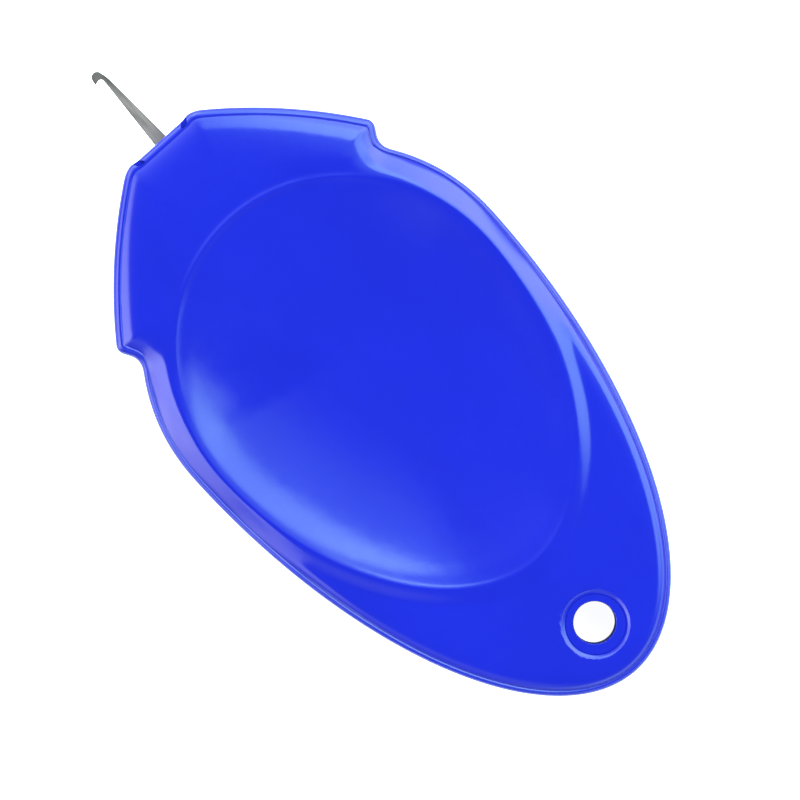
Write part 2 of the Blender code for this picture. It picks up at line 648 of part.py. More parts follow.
def make_carriage(finish):
    bm = bmesh.new()
    half = CARRIAGE_HALF_WIDTH
    add_prism(bm, rounded_rectangle((-half, half), CARRIAGE_Y, 0.5, steps=3), *CARRIAGE_Z)
    carriage = mesh_object("carriage", bm, finish)
    pockets = bmesh.new()
    tang = TANG_HALF_WIDTH + CLEARANCE
    add_block(pockets, (-tang, tang), (TANG_Y[0] - CLEARANCE, CARRIAGE_Y[1] + 1.0),
              (HOOK_Z[0] - 0.1, CARRIAGE_Z[1] + 1.0))
    add_block(pockets, (SPRING_SEAT_X - 0.25, half + 1.0),
              (SPRING_Y[0] - CLEARANCE, SPRING_Y[1] + CLEARANCE),
              (SPRING_Z[0] - CLEARANCE, CARRIAGE_Z[1] + 1.0))
    boolean(carriage, "DIFFERENCE", "carriage_pockets", pockets)
    stem = bmesh.new()
    x = STEM_HALF_WIDTH + CLEARANCE
    add_block(stem, (-x, x), (STEM_Y[0] - CLEARANCE, STEM_Y[1] + CLEARANCE), (1.0, 5.0))
    add_turned(stem, 0.0, RIVET_Y, (
        (RIVET_HEAD_RADIUS + 0.1, 1.0), (RIVET_HEAD_RADIUS + 0.1, CARRIAGE_Z[0] + 0.35),
        (RIVET_RADIUS + 0.1, CARRIAGE_Z[0] + 0.35), (RIVET_RADIUS + 0.1, 3.0)), sides=16)
    boolean(carriage, "DIFFERENCE", "carriage_stem_hole", stem)
    lugs = bmesh.new()
    add_block(lugs, (-x - 0.4, x + 0.4), (STEM_Y[0] - CLEARANCE, STEM_Y[1] + CLEARANCE),
              (3.45, 5.0))
    boolean(carriage, "DIFFERENCE", "carriage_lug_recess", lugs)
    return carriage


def make_thumb_slide(finish):
    """Ribbed plate with a stem that snaps into the carriage."""
    bm = bmesh.new()
    half = THUMB_HALF_WIDTH
    add_prism(bm, rounded_rectangle((-half, half), THUMB_Y, 1.3), THUMB_Z[0] + 0.3, THUMB_Z[1])
    thumb = mesh_object("thumb_slide", bm, finish)
    added = bmesh.new()
    x = STEM_HALF_WIDTH
    lug = x + 0.3
    stem_side = ((-x, THUMB_Z[1] - 0.2), (x, THUMB_Z[1] - 0.2), (x, 3.6), (lug, 3.75),
                 (x - 0.2, STEM_TOP_Z), (-x + 0.2, STEM_TOP_Z), (-lug, 3.75), (-x, 3.6))
    front = [added.verts.new((px, STEM_Y[1], z)) for px, z in stem_side]
    back = [added.verts.new((px, STEM_Y[0], z)) for px, z in stem_side]
    added.faces.new(front)
    added.faces.new(reversed(back))
    for i in range(len(stem_side)):
        j = (i + 1) % len(stem_side)
        added.faces.new((front[j], front[i], back[i], back[j]))
    rib_count, rib_width = 5, 0.7
    for y in np.linspace(THUMB_Y[0] + 1.4, THUMB_Y[1] - 1.4, rib_count):
        profile = ((y - rib_width / 2.0, THUMB_Z[0] + 0.4), (y - rib_width / 5.0, THUMB_Z[0]),
                   (y + rib_width / 5.0, THUMB_Z[0]), (y + rib_width / 2.0, THUMB_Z[0] + 0.4))
        add_prism(added, [(float(a), b) for a, b in profile], -half + 0.9, half - 0.9, axis="x")
    boolean(thumb, "UNION", "thumb_slide_ribs", added)
    return thumb


def make_detent_spring(finish):
    """A bowed strip whose middle bulges out to a rounded nib."""
    middle = (SPRING_Y[0] + SPRING_Y[1]) / 2.0
    reach = (SPRING_Y[1] - SPRING_Y[0]) / 2.0
    along = middle + reach * np.linspace(-1.0, 1.0, 25)
    bow = 0.45 * np.cos((along - middle) / reach * math.pi / 2.0) ** 2
    rest = SPRING_NIB_X - SPRING_THICKNESS - SPRING_SEAT_X - 0.45
    nib = rest * np.exp(-((along - middle) / 0.75) ** 2)
    inner = SPRING_SEAT_X + bow + nib
    outer = inner + SPRING_THICKNESS
    path = list(zip(inner.tolist(), along.tolist()))
    path += list(zip(outer[::-1].tolist(), along[::-1].tolist()))
    bm = bmesh.new()
    add_prism(bm, path, *SPRING_Z)
    return mesh_object("detent_spring", bm, finish)


def make_hook_rivet(finish):
    """Rivet through the carriage and the tang, with a head at each end."""
    low, high = CARRIAGE_Z[0] + 0.05, HOOK_Z[1] + 0.1
    profile = ((RIVET_HEAD_RADIUS, low), (RIVET_HEAD_RADIUS, low + 0.22), (RIVET_RADIUS, low + 0.22),
               (RIVET_RADIUS, high), (RIVET_HEAD_RADIUS, high), (RIVET_HEAD_RADIUS * 0.9, high + 0.3),
               (RIVET_HEAD_RADIUS * 0.5, high + 0.45))
    bm = bmesh.new()
    add_turned(bm, 0.0, RIVET_Y, profile, sides=16)
    return mesh_object("hook_rivet", bm, finish)


def hang_on_travel_axis(pieces):
    """Puts the moving pieces under one empty on the line the hook slides along."""
    axis = bpy.data.objects.new("hook_travel", None)
    axis.location = (0.0, CARRIAGE_Y[0] * METRES_PER_UNIT, sum(HOOK_Z) / 2.0 * METRES_PER_UNIT)
    bpy.context.scene.collection.objects.link(axis)
    bpy.context.view_layer.update()
    for piece in pieces:
        piece.parent = axis
        piece.matrix_parent_inverse = axis.matrix_world.inverted()
        for modifier in piece.modifiers:
            modifier.object.parent = axis
            modifier.object.matrix_parent_inverse = axis.matrix_world.inverted()


def main():
    for old in list(bpy.data.objects):
        bpy.data.objects.remove(old)
    blue = material("glossy_blue_plastic", (0.016, 0.034, 0.80), 0.16)
    white = material("natural_acetal", (0.80, 0.80, 0.76), 0.4)
    steel = material("stamped_steel", (0.36, 0.36, 0.35), 0.32, metallic=1.0)
    spring_steel = material("spring_steel", (0.46, 0.46, 0.47), 0.25, metallic=1.0)
    brass = material("rivet_brass", (0.70, 0.52, 0.24), 0.3, metallic=1.0)
    make_front_shell(blue)
    make_back_shell(blue.copy())
    slider = [make_hook(steel), make_carriage(white), make_thumb_slide(blue.copy()),
              make_detent_spring(spring_steel), make_hook_rivet(brass)]
    hang_on_travel_axis(slider)


main()
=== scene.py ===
"""Looks of the retractable thread hook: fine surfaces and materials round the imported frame.

Shapes are worked out in millimetres, in the frame's own axes, and mesh_object turns them into
metres: X across the case, +Y towards the hook, +Z out of the dished face.
"""
import json
import math

import bmesh
import bpy
import numpy as np
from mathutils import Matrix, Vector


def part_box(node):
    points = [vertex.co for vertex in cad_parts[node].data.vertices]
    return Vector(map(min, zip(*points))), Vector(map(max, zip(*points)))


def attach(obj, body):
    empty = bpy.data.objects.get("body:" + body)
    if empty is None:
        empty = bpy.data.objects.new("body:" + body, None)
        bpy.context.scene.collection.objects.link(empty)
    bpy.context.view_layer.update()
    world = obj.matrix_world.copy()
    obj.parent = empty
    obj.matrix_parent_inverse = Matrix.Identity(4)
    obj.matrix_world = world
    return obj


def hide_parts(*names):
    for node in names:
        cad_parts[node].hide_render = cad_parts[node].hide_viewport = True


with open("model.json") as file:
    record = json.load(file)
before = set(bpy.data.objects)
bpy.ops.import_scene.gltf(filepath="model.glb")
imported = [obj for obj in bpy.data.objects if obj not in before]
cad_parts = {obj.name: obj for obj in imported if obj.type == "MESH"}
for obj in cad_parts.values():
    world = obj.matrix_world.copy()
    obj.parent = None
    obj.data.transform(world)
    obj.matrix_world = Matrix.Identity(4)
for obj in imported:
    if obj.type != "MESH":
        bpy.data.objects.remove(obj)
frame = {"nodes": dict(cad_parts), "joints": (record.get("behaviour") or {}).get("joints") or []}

METRES_PER_UNIT = 0.001
SMOOTH_ANGLE = 35.0           # degrees between faces, above which an edge is sharp


def box_mm(node):
    """A CAD node's lowest and highest corner, in millimetres."""
    return tuple(np.array(corner) / METRES_PER_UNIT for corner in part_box(node))


FRONT_LOW, FRONT_HIGH = box_mm("front_shell")
HOOK_LOW, HOOK_HIGH = box_mm("hook")
THUMB_LOW, THUMB_HIGH = box_mm("thumb_slide")

# Outline of the case
TAIL_Y, NOSE_Y = FRONT_LOW[1], FRONT_HIGH[1]
HALF_WIDTH = FRONT_HIGH[0]
NOSE_CORNER_X = 3.44
LIP_X = 2.9
LIP_SET_BACK = 0.12
NOSE_ROUND = 0.5
WIDEST_Y = 3.0
BODY_FRONT_LENGTH = 20.63
BODY_FRONT_POWERS = (1.5, 2.15)
BODY_TAIL_POWERS = (1.98, 1.96)
CHEEK_RADIUS = 51.4
CHEEK_START = (3.73, 28.99)
CHEEK_END = (16.07, 16.73)
FLANK_SLOPE = 0.576
SHOULDER_BLEND = 0.74
VALLEY_BLEND = 1.22
OUTLINE_POINTS = 720
CORNER_SAMPLES = 12           # points along the nose corner's round, before they are evened out
SIDE_SAMPLES = 500            # points along each longer stretch

# Front face
SEAM_Z = 3.0
SEAM_GAP = 0.1
LIP_RISE = 0.017              # room for the fine lip above the crest
CREST_Z = FRONT_HIGH[2] - LIP_RISE
PLATEAU_DROPS = ((-11.0, 0.29), (-2.0, 0.55))     # (y, how far the face lies below the crest)
TAIL_FACE_Z = CREST_Z - PLATEAU_DROPS[0][1]
# The fine crease between the bead round the rim and the face: (y, inset) and (y, height)
CREASE_INSETS = ((13.5, 0.55), (17.0, 0.8))
CREASE_HEIGHTS = ((-24.0, 6.49), (-10.0, 6.36), (-1.0, 6.09), (11.0, 6.09), (18.0, 6.62),
                  (28.0, 6.76))
CREASE_WIDTH = 0.12
CREASE_MIDDLE_RISE = 0.005
BEAD_RISE = 0.04              # top of the bead above the crease
BEAD_HEIGHT = 0.5
WALL_DRAFT = 0.03
CENTRE_Y = 1.4                # the front and tail halves of the dish meet on this line
DISH_HALF_WIDTH = 16.5
DISH_FRONT_LENGTH = 17.7
DISH_TAIL_LENGTH = 25.0
DISH_DEPTH = 1.3
DISH_POWERS = ((0.2, 3.0), (0.92, 1.6))   # (sine of the bearing, power): gentler at the front
DISH_END_POWERS = (2.0, 1.9)  # superellipses, front and tail
RIDGE_BLEND = 0.3             # rounds off the dish's crest
LIP_HEIGHTS = (0.108, 0.035)  # the fine raised lip on the crest, front and tail
LIP_WIDTH = 0.33
LIP_INSETS = (0.28, 0.0)
LIP_END_POWER = 4             # how fast the lip fades towards the dish's sides
PILLOW_WIDTHS = ((6.0, 1.9), (14.0, 3.3))     # (y, width of the slope outside the crest)
PILLOW_FADE_Y = (-15.0, -26.0)    # the slope sinks towards the tail end of the dish
PILLOW_FADE = 0.5
PILLOW_POWERS = (1.5, 2)      # the slope's shape at the crest and at its foot
# (y, width of the roll-off to the crease)
EDGE_FALLS = ((-16.0, 0.3), (-8.0, 0.42), (-2.0, 0.6), (12.0, 0.6), (18.0, 1.2))
HEAD_RISE_Y = (12.0, 16.0)

# Rings of the front face, closer together where it curves most
FIRST_RING = 0.05             # share of the crest's radius
RIDGE_REACH = 0.4             # either side of the crest
FOOT_REACH = 0.2              # past the pillow's narrowest part
EDGE_ZONE = 3.4               # inset at which the rings draw together towards the crease
EDGE_ZONE_SHARE = 0.2         # the least share of the way from the foot to the crease

# Pocket at either end of the nose lip
NOSE_POCKET = ((3.25, 28.9), (2.66, 28.9), (2.66, 28.6), (2.25, 28.14), (2.5, 27.92), (3.0, 28.1),
               (3.25, 28.5))
NOSE_POCKET_Z = 6.45

# The two shells' walls and the lap joint at the seam
WALL = 1.2
SEAM_EDGE = (0.06, 0.08)      # (inset, height) of the broken edge on either side of the seam
SKIRT_INSET = 0.7
TONGUE_INSETS = (0.82, 1.4)
TONGUE_TOP_Z = 3.4
TONGUE_FOOT_Z = 2.0
# Inside the front shell, past the wall's inset: at the tongue, at the corner, at the shoulder
INNER_INSETS = (0.5, 0.9, 2.0)
INNER_HEIGHTS = (4.7, 5.1)
SHOULDER_STEP = 0.3
INNER_RING_SHARES = (1.0, 0.88, 0.7, 0.35)

# Back shell
BACK_EDGE_INSET = 1.1
BACK_EDGE_RISE = 1.5
BACK_EDGE_START = 0.06        # the angle at which the rounded edge leaves the flat
BACK_FLAT_INSET = BACK_EDGE_INSET + 0.02
BACK_FLAT_SHARES = (0.4, 0.8)
BACK_CORNER = ((WALL + 0.5, 1.4), (WALL + 1.1, WALL))     # (inset, z) inside the shell
BACK_MIDDLE_SHARE = 0.5

# Mouth for the hook
MOUTH_LOW_Z = 2.3
FRONT_MOUTH_HIGH_Z, BACK_MOUTH_HIGH_Z = 3.75, 4.0
MOUTH_ROUND = 0.25
MOUTH_DEPTH = 3.0

# Key ring hole, and the shallow ring sunk round it
HOLE_X, HOLE_Y = 0.1, -31.55
HOLE_RADIUS = 1.97
HOLE_BACK_ROUND = 0.3
HOLE_FRONT_ROUND = 0.08
HOLE_ROUND_END = 80.0         # degrees
HOLE_WALL_REACH = 0.2         # past its radius, for the dull finish and its painted shade
HOLE_WALL_NORMAL_Z = 0.9      # the steepest a face of the wall may look up or down
BOSS_RADIUS = 3.4
BOSS_Z = (0.6, 6.0)
BOSS_GAP = 0.05
RING_X, RING_Y = 0.06, -31.74
RING_RADIUS = 3.22
RING_FLOOR_RADIUS = 2.86
RING_DEPTH = 0.11
RING_GROOVE_WIDTH = 0.09
RING_GROOVE_SIDE = 0.03
RING_GROOVE_DEPTH = 0.06
RING_POWER = 1.5
RING_OVERRUN = 0.1            # how far its cutter runs past the edge, as a share of the slope
RING_CUTTER_RADIUS = 0.5
RING_CUTTER_TOP = 0.5
CUT_PAST = 1.0                # how far the other cutters stand past a surface

# Travel of the hook and its thumb slide, from the frame's joint
HOOK_TRAVEL = -frame["joints"][0]["range_m"][0] / METRES_PER_UNIT
CLEARANCE = 0.15
RECESS_MARGIN = 0.5
RECESS_DEPTH = 0.9
RECESS_CORNER = 1.6
RECESS_RIM_ROUND = 0.35
RECESS_RIM_START = (0.1, -0.01)   # (angle, z) where the rim's rounding leaves the cutter's sides
RECESS_FLOOR_ROUND = 0.25
RECESS_WALL = 0.9
RECESS_BED_CORNER = 2.4
RECESS_BED_Z = (0.6, 1.85)
SLOT_CORNER = 0.25
SLOT_Z = (0.4, 2.6)

# Thumb slide
BUTTON_CORNER = 1.3
BUTTON_LAYERS = ((0.22, 0.45), (0.06, 0.49), (0.0, 0.56), (0.0, 0.72), (0.05, 0.75))  # (inset, z)
RIB_COUNT = 5
RIB_RADII = (0.38, 0.34)      # along Y and Z
RIB_Z = 0.49
RIB_SINK = 0.35               # how far the ribs' arc runs on into the button, in radians
RIB_END_INSETS = (0.9, 1.4)   # from the button's edges, in X and Y
STEM_HALF_WIDTH = 1.0
STEM_Y = (11.9, 14.7)
STEM_FOOT_Z = 0.6
STEM_SNAP_Z = (3.6, 3.75)
STEM_SNAP_REACH = 0.3
STEM_TIP_INSET = 0.2

# Hook: its barb points to -X, and heights below the tip are along Y
TANG_TOP_Y = 22.6
TANG_TAPER = 0.8
RIVET_HOLE_Y, RIVET_HOLE_RADIUS, RIVET_HOLE_Z = 18.6, 0.6, (1.0, 5.0)
SHANK_RIGHT_X = (0.74, 0.37)  # at the nose and at the neck
SHANK_LEFT_X = (-0.58, -0.14)
NECK_Y = 35.84
NECK_RIGHT = ((0.34, 36.2), (0.29, 36.52))
CROWN_X, CROWN_RADIUS, CROWN_ARC = -0.37, 0.53, (20.0, 168.0)
BARB = ((-0.94, 0.74), (-0.965, 0.92), (-0.92, 0.985), (-0.74, 0.88))     # (x, below the tip)
THROAT_X, THROAT_BELOW, THROAT_RADIUS, THROAT_ARC = -0.45, 1.13, 0.31, (105.0, 0.0)
HOOK_EDGE_ROUND = 0.06
DARK_TIP_Y = (33.5, 36.6)

# Camera: straight down on the face, with the nose up and to the left
CAMERA_AIM = (0.49, -4.16, 4.0)
CAMERA_HEIGHT = 1000.0
CAMERA_TURN = -42.0
VIEW_WIDTH = 74.32
SENSOR_WIDTH = 36.0
CAMERA_CLIP = (0.05, 10.0)    # metres

# Studio light. Levels run from 0 overhead to 1 at the horizon, and colours are shares of
# DOME_STRENGTH. A panel has its azimuth in degrees, 0 at +X and 90 at +Y, then its weight over the
# cosine of the angle from there, then its colour over the level.
DOME_STRENGTH = 6.0
LEAST_LEVEL = 0.0001          # keeps a division off zero, straight overhead
FLOOR_HALF_WIDTH = 3000.0
FLOOR_GLOW = 0.95
FLOOR_GAP = 0.02              # keeps the floor off the flat back, which would share its plane
DOME = ((0.0, 0.006), (0.3, 0.009), (0.55, 0.04), (0.8, 0.06), (1.0, 0.09))
PANELS = (
    # The soft glow at +X, nearly overhead
    (16.0, ((0.74, 0.0), (0.78, 0.1), (0.83, 0.6), (0.9, 0.95), (1.0, 1.0)),
     ((0.0, 0.0), (0.05, (0.015, 0.02, 0.03)), (0.09, (0.05, 0.08, 0.10)),
      (0.15, (0.09, 0.155, 0.17)), (0.26, (0.115, 0.19, 0.20)), (0.52, (0.115, 0.19, 0.20)),
      (0.62, 0.0))),
    # The upper part of the broad panel at +X, brighter towards its ends
    (4.0, ((0.3, 0.0), (0.45, 0.03), (0.6, 0.35), (0.755, 0.88), (0.84, 1.0), (0.945, 1.0),
           (0.985, 0.72), (1.0, 0.69)),
     ((0.0, 0.0), (0.265, 0.0), (0.30, (0.48, 0.83, 0.74)), (0.52, (0.48, 0.83, 0.74)),
      (0.62, 0.0))),
    # Its end towards the hook
    (33.0, ((0.966, 0.0), (0.985, 0.6), (1.0, 1.0)),
     ((0.265, 0.0), (0.30, (0.10, 0.14, 0.12)), (0.52, (0.10, 0.14, 0.12)), (0.62, 0.0))),
    # Its lower part
    (18.0, ((0.3, 0.0), (0.38, 0.03), (0.6, 0.45), (0.72, 0.85), (0.9, 1.0)),
     ((0.52, 0.0), (0.62, (0.40, 0.69, 0.64)), (0.93, (0.40, 0.69, 0.64)),
      (0.975, (0.06, 0.09, 0.09)))),
    # Its bright middle
    (8.0, ((0.7, 0.0), (0.8, 0.15), (0.85, 0.25), (0.925, 0.4), (0.97, 0.75), (1.0, 1.0)),
     ((0.46, 0.0), (0.60, (0.45, 0.35, 0.33)), (0.92, (0.45, 0.35, 0.33)), (0.975, 0.04))),
    # A low strip towards the tail
    (-78.0, ((0.3, 0.0), (0.6, 0.45), (0.85, 1.0)),
     ((0.6, 0.0), (0.75, (0.24, 0.38, 0.36)), (0.92, (0.24, 0.38, 0.36)), (0.97, 0.03))),
    # A dim strip towards the hook
    (90.0, ((0.8, 0.0), (0.93, 1.0)),
     ((0.0, 0.0), (0.15, 0.01), (0.3, (0.05, 0.06, 0.06)), (0.45, (0.11, 0.14, 0.14)),
      (0.56, (0.20, 0.26, 0.26)), (0.8, (0.6, 0.74, 0.7)), (0.91, (0.7, 0.84, 0.8)),
      (0.965, 0.06))),
    # The weaker panel at -X
    (152.0, ((0.3, 0.0), (0.6, 0.03), (0.735, 0.07), (0.8, 0.40), (0.87, 0.48), (0.97, 0.8),
             (1.0, 1.0)),
     ((0.0, 0.0), (0.42, 0.0), (0.5, (0.85, 0.88, 0.9)), (0.78, (0.85, 0.88, 0.9)),
      (0.85, (0.1, 0.1, 0.1)), (0.97, 0.05))),
    # Its narrower foot
    (161.0, ((0.89, 0.0), (0.91, 0.12), (0.94, 0.44), (0.985, 0.6), (1.0, 0.92)),
     ((0.78, 0.0), (0.85, (0.9, 0.9, 0.92)), (0.95, (0.9, 0.9, 0.92)), (0.985, 0.1))),
    # A dim card at -X towards the tail
    (-145.0, ((0.93, 0.0), (0.98, 1.0)),
     ((0.2, 0.0), (0.42, (0.07, 0.08, 0.07)), (0.6, (0.07, 0.08, 0.07)), (0.7, 0.0))),
    # A small glow high at +X towards the tail, where the broad panel's edge dips
    (-36.0, ((0.98, 0.0), (0.992, 0.7), (1.0, 1.0)),
     ((0.215, 0.0), (0.24, (0.24, 0.36, 0.32)), (0.265, (0.24, 0.36, 0.32)), (0.31, 0.0))),
)


# --- outline -----------------------------------------------------------------------------

def smooth_min(a, b, blend):
    """The lower of two values, rounded off where they cross."""
    h = np.clip(0.5 + 0.5 * (b - a) / blend, 0.0, 1.0)
    return b + (a - b) * h - blend * h * (1.0 - h)


def smooth_max(a, b, blend):
    return -smooth_min(-a, -b, blend)


def smooth_step(t):
    t = np.clip(t, 0.0, 1.0)
    return t * t * (3.0 - 2.0 * t)


def step_between(value, limits):
    """Rises smoothly from 0 at the first limit to 1 at the second."""
    return smooth_step((value - limits[0]) / (limits[1] - limits[0]))


def graded(y, stops):
    """Runs smoothly through (y, value) stops, and stays level beyond the first and the last."""
    at, values = np.array(stops).T
    k = np.clip(np.searchsorted(at, y) - 1, 0, len(at) - 2)
    return values[k] + (values[k + 1] - values[k]) * smooth_step((y - at[k]) / (at[k + 1] - at[k]))


def body_half_width(y):
    """Two halves of a superellipse that meet at the widest line."""
    tail = np.clip((WIDEST_Y - y) / (WIDEST_Y - TAIL_Y), 0.0, 1.0)
    front = np.clip((y - WIDEST_Y) / BODY_FRONT_LENGTH, 0.0, 1.0)
    across, along = BODY_TAIL_POWERS
    tail_x = (1.0 - tail ** along) ** (1.0 / across)
    across, along = BODY_FRONT_POWERS
    front_x = (1.0 - front ** along) ** (1.0 / across)
    return HALF_WIDTH * np.where(y < WIDEST_Y, tail_x, front_x)


def cheek_half_width(y):
    """The arc from the nose to the shoulder."""
    start, end = np.array(CHEEK_START), np.array(CHEEK_END)
    chord = end - start
    half = np.hypot(*chord) / 2.0
    inward = np.array((chord[1], -chord[0])) / (2.0 * half)
    centre = (start + end) / 2.0 + inward * math.sqrt(CHEEK_RADIUS ** 2 - half ** 2)
    return centre[0] + np.sqrt(np.maximum(CHEEK_RADIUS ** 2 - (y - centre[1]) ** 2, 0.0))


def half_width(y):
    """Half the width of the case: body, notch, shoulder, cheek and nose corner."""
    flank = CHEEK_END[0] - FLANK_SLOPE * (CHEEK_END[1] - y)
    head = smooth_min(cheek_half_width(y), flank, SHOULDER_BLEND)
    width = smooth_max(body_half_width(y), head, VALLEY_BLEND)
    corner = np.clip((y - NOSE_Y + NOSE_ROUND) / NOSE_ROUND, 0.0, 1.0)
    drop = cheek_half_width(NOSE_Y) - NOSE_CORNER_X
    return width - drop * (1.0 - np.sqrt(1.0 - corner ** 2))


def outline():
    """The whole outline, clockwise from the middle of the nose, at even steps along it."""
    lip_y = NOSE_Y - LIP_SET_BACK
    corner = np.linspace(0.0, math.pi / 2.0, CORNER_SAMPLES)
    y = np.concatenate((NOSE_Y - NOSE_ROUND * (1.0 - np.cos(corner)),
                        np.linspace(NOSE_Y - NOSE_ROUND, WIDEST_Y, SIDE_SAMPLES)[1:-1]))
    front = np.column_stack((half_width(y), y))
    across, along = BODY_TAIL_POWERS
    angle = np.linspace(0.0, math.pi / 2.0, SIDE_SAMPLES)
    tail = np.column_stack((HALF_WIDTH * np.cos(angle).clip(0.0) ** (2.0 / across),
                            WIDEST_Y - (WIDEST_Y - TAIL_Y) * np.sin(angle) ** (2.0 / along)))
    half = np.concatenate((((0.0, lip_y), (LIP_X, lip_y)), front, tail))
    travelled = np.concatenate(((0.0,), np.cumsum(np.hypot(*np.diff(half, axis=0).T))))
    even = np.linspace(0.0, travelled[-1], OUTLINE_POINTS // 2 + 1)
    right = np.column_stack([np.interp(even, travelled, half[:, k]) for k in (0, 1)])
    left = right[-2:0:-1] * (-1.0, 1.0)
    return np.concatenate((right, left))


OUTLINE = outline()
BEARINGS = np.arctan2(OUTLINE[:, 1] - CENTRE_Y, OUTLINE[:, 0])
OUTLINE_RADII = np.hypot(OUTLINE[:, 0], OUTLINE[:, 1] - CENTRE_Y)


def edge_distance(x, y):
    """How far each point lies from the outline."""
    a = OUTLINE
    along = np.roll(OUTLINE, -1, axis=0) - a
    to_x, to_y = x[:, None] - a[:, 0], y[:, None] - a[:, 1]
    t = np.clip((to_x * along[:, 0] + to_y * along[:, 1]) / (along ** 2).sum(axis=1), 0.0, 1.0)
    return np.hypot(to_x - t * along[:, 0], to_y - t * along[:, 1]).min(axis=1)


DEPTHS = np.linspace(0.0, 6.0, 61) ** 1.2     # steps inwards, finer near the outline
DEPTH_INSETS = np.maximum.accumulate(np.array([
    edge_distance((OUTLINE_RADII - depth) * np.cos(BEARINGS),
                  CENTRE_Y + (OUTLINE_RADII - depth) * np.sin(BEARINGS))
    for depth in DEPTHS]), axis=0)


def inset_radii(inset):
    """On each bearing, the distance from the centre that lies this far inside the outline."""
    insets = np.broadcast_to(inset, BEARINGS.shape)
    depth = [np.interp(insets[i], DEPTH_INSETS[:, i], DEPTHS) for i in range(len(BEARINGS))]
    return OUTLINE_RADII - np.array(depth)


def dish_radii(bearings):
    """The dish's crest: two half superellipses that share their width."""
    front = np.sin(bearings) > 0.0
    power = np.where(front, *DISH_END_POWERS)
    length = np.where(front, DISH_FRONT_LENGTH, DISH_TAIL_LENGTH)
    across = np.abs(np.cos(bearings) / DISH_HALF_WIDTH) ** power
    return (across + np.abs(np.sin(bearings) / length) ** power) ** (-1.0 / power)


# --- heights of the front face -----------------------------------------------------------

def outer_height(x, y):
    """The face outside the dish: head, tail and pillow slope, which roll off to the crease."""
    bearing = np.arctan2(y - CENTRE_Y, x)
    beyond = np.hypot(x, y - CENTRE_Y) - dish_radii(bearing)
    at_crest, at_foot = PILLOW_POWERS
    slope = (1.0 - np.clip(beyond / graded(y, PILLOW_WIDTHS), 0.0, 1.0) ** at_crest) ** at_foot
    slope *= 1.0 - PILLOW_FADE * step_between(y, PILLOW_FADE_Y)
    head = step_between(y, HEAD_RISE_Y)
    plateau = CREST_Z - graded(y, PLATEAU_DROPS) * (1.0 - slope) * (1.0 - head)
    depth = np.maximum(edge_distance(x, y) - graded(y, CREASE_INSETS), 0.0)
    crease = graded(y, CREASE_HEIGHTS)
    return plateau - (plateau - crease) * np.exp(-depth / graded(y, EDGE_FALLS))


CREST_RADII = dish_radii(BEARINGS)
CREST_HEIGHTS = outer_height(CREST_RADII * np.cos(BEARINGS),
                             CENTRE_Y + CREST_RADII * np.sin(BEARINGS))


def face_height(x, y):
    """Height of the whole front face inside its crease."""
    bearing = np.arctan2(y - CENTRE_Y, x)
    radius, crest = np.hypot(x, y - CENTRE_Y), dish_radii(bearing)
    crest_z = np.interp(bearing, BEARINGS, CREST_HEIGHTS, period=2.0 * math.pi)
    bottom = CREST_Z - DISH_DEPTH
    power = graded(np.sin(bearing), DISH_POWERS)
    bowl = bottom + (crest_z - bottom) * (radius / crest) ** power
    front = y > CENTRE_Y
    from_lip = (radius - crest + np.where(front, *LIP_INSETS)) / LIP_WIDTH
    lip = np.where(front, *LIP_HEIGHTS) * np.sin(bearing) ** LIP_END_POWER * np.exp(-from_lip ** 2)
    return smooth_min(outer_height(x, y), bowl, RIDGE_BLEND) + lip


# --- meshes ------------------------------------------------------------------------------

def mesh_object(name, bm, finishes=(), smooth_angle=SMOOTH_ANGLE):
    """Scales the mesh to metres and makes its object, with smooth round faces."""
    bmesh.ops.recalc_face_normals(bm, faces=bm.faces)
    bmesh.ops.scale(bm, vec=(METRES_PER_UNIT,) * 3, verts=bm.verts)
    mesh = bpy.data.meshes.new(name)
    bm.to_mesh(mesh)
    bm.free()
    mesh.shade_smooth()
    mesh.set_sharp_from_angle(angle=math.radians(smooth_angle))
    for finish in finishes:
        mesh.materials.append(finish)
    made = bpy.data.objects.new(name, mesh)
    bpy.context.scene.collection.objects.link(made)
    return made


def apply_modifiers(piece):
    """Bakes a piece's modifiers into its mesh and splits its normals at real edges."""
    graph = bpy.context.evaluated_depsgraph_get()
    mesh = bpy.data.meshes.new_from_object(piece.evaluated_get(graph), depsgraph=graph)
    piece.modifiers.clear()
    piece.data = mesh
    mesh.shade_smooth()
    mesh.set_sharp_from_angle(angle=math.radians(SMOOTH_ANGLE))


def boolean(target, operation, bm):
    """Adds or cuts the given solids, and keeps only the result."""
    tool = mesh_object(target.name + "_tool", bm)
    modifier = target.modifiers.new("cut", "BOOLEAN")
    modifier.operation = operation
    modifier.solver = "EXACT"
    modifier.object = tool
    apply_modifiers(target)
    bpy.data.objects.remove(tool)


def weigh_normals(piece):
    """Lets broad faces rule the shading beside small fillets."""
    modifier = piece.modifiers.new("weighted_normals", "WEIGHTED_NORMAL")
    modifier.keep_sharp = True
    modifier.weight = 80


def ring_at(radii, height):
    """One ring of points; height is a number, one for each bearing, or a function of x and y."""
    x, y = radii * np.cos(BEARINGS), CENTRE_Y + radii * np.sin(BEARINGS)
    z = height(x, y) if callable(height) else np.broadcast_to(height, x.shape)
    return np.column_stack((x, y, z)).tolist()


def add_loft(bm, rings, first_centre, last_centre):
    """Joins rings of points one after the other, and closes both ends onto a centre point."""
    made = [[bm.verts.new(point) for point in ring] for ring in rings]
    count = len(made[0])
    for lower, upper in zip(made, made[1:]):
        for i in range(count):
            j = (i + 1) % count
            bm.faces.new((lower[i], lower[j], upper[j], upper[i]))
    for ring, centre, flip in ((made[0], first_centre, True), (made[-1], last_centre, False)):
        middle = bm.verts.new(centre)
        for i in range(count):
            j = (i + 1) % count
            a, b = (ring[j], ring[i]) if flip else (ring[i], ring[j])
            bm.faces.new((a, b, middle))


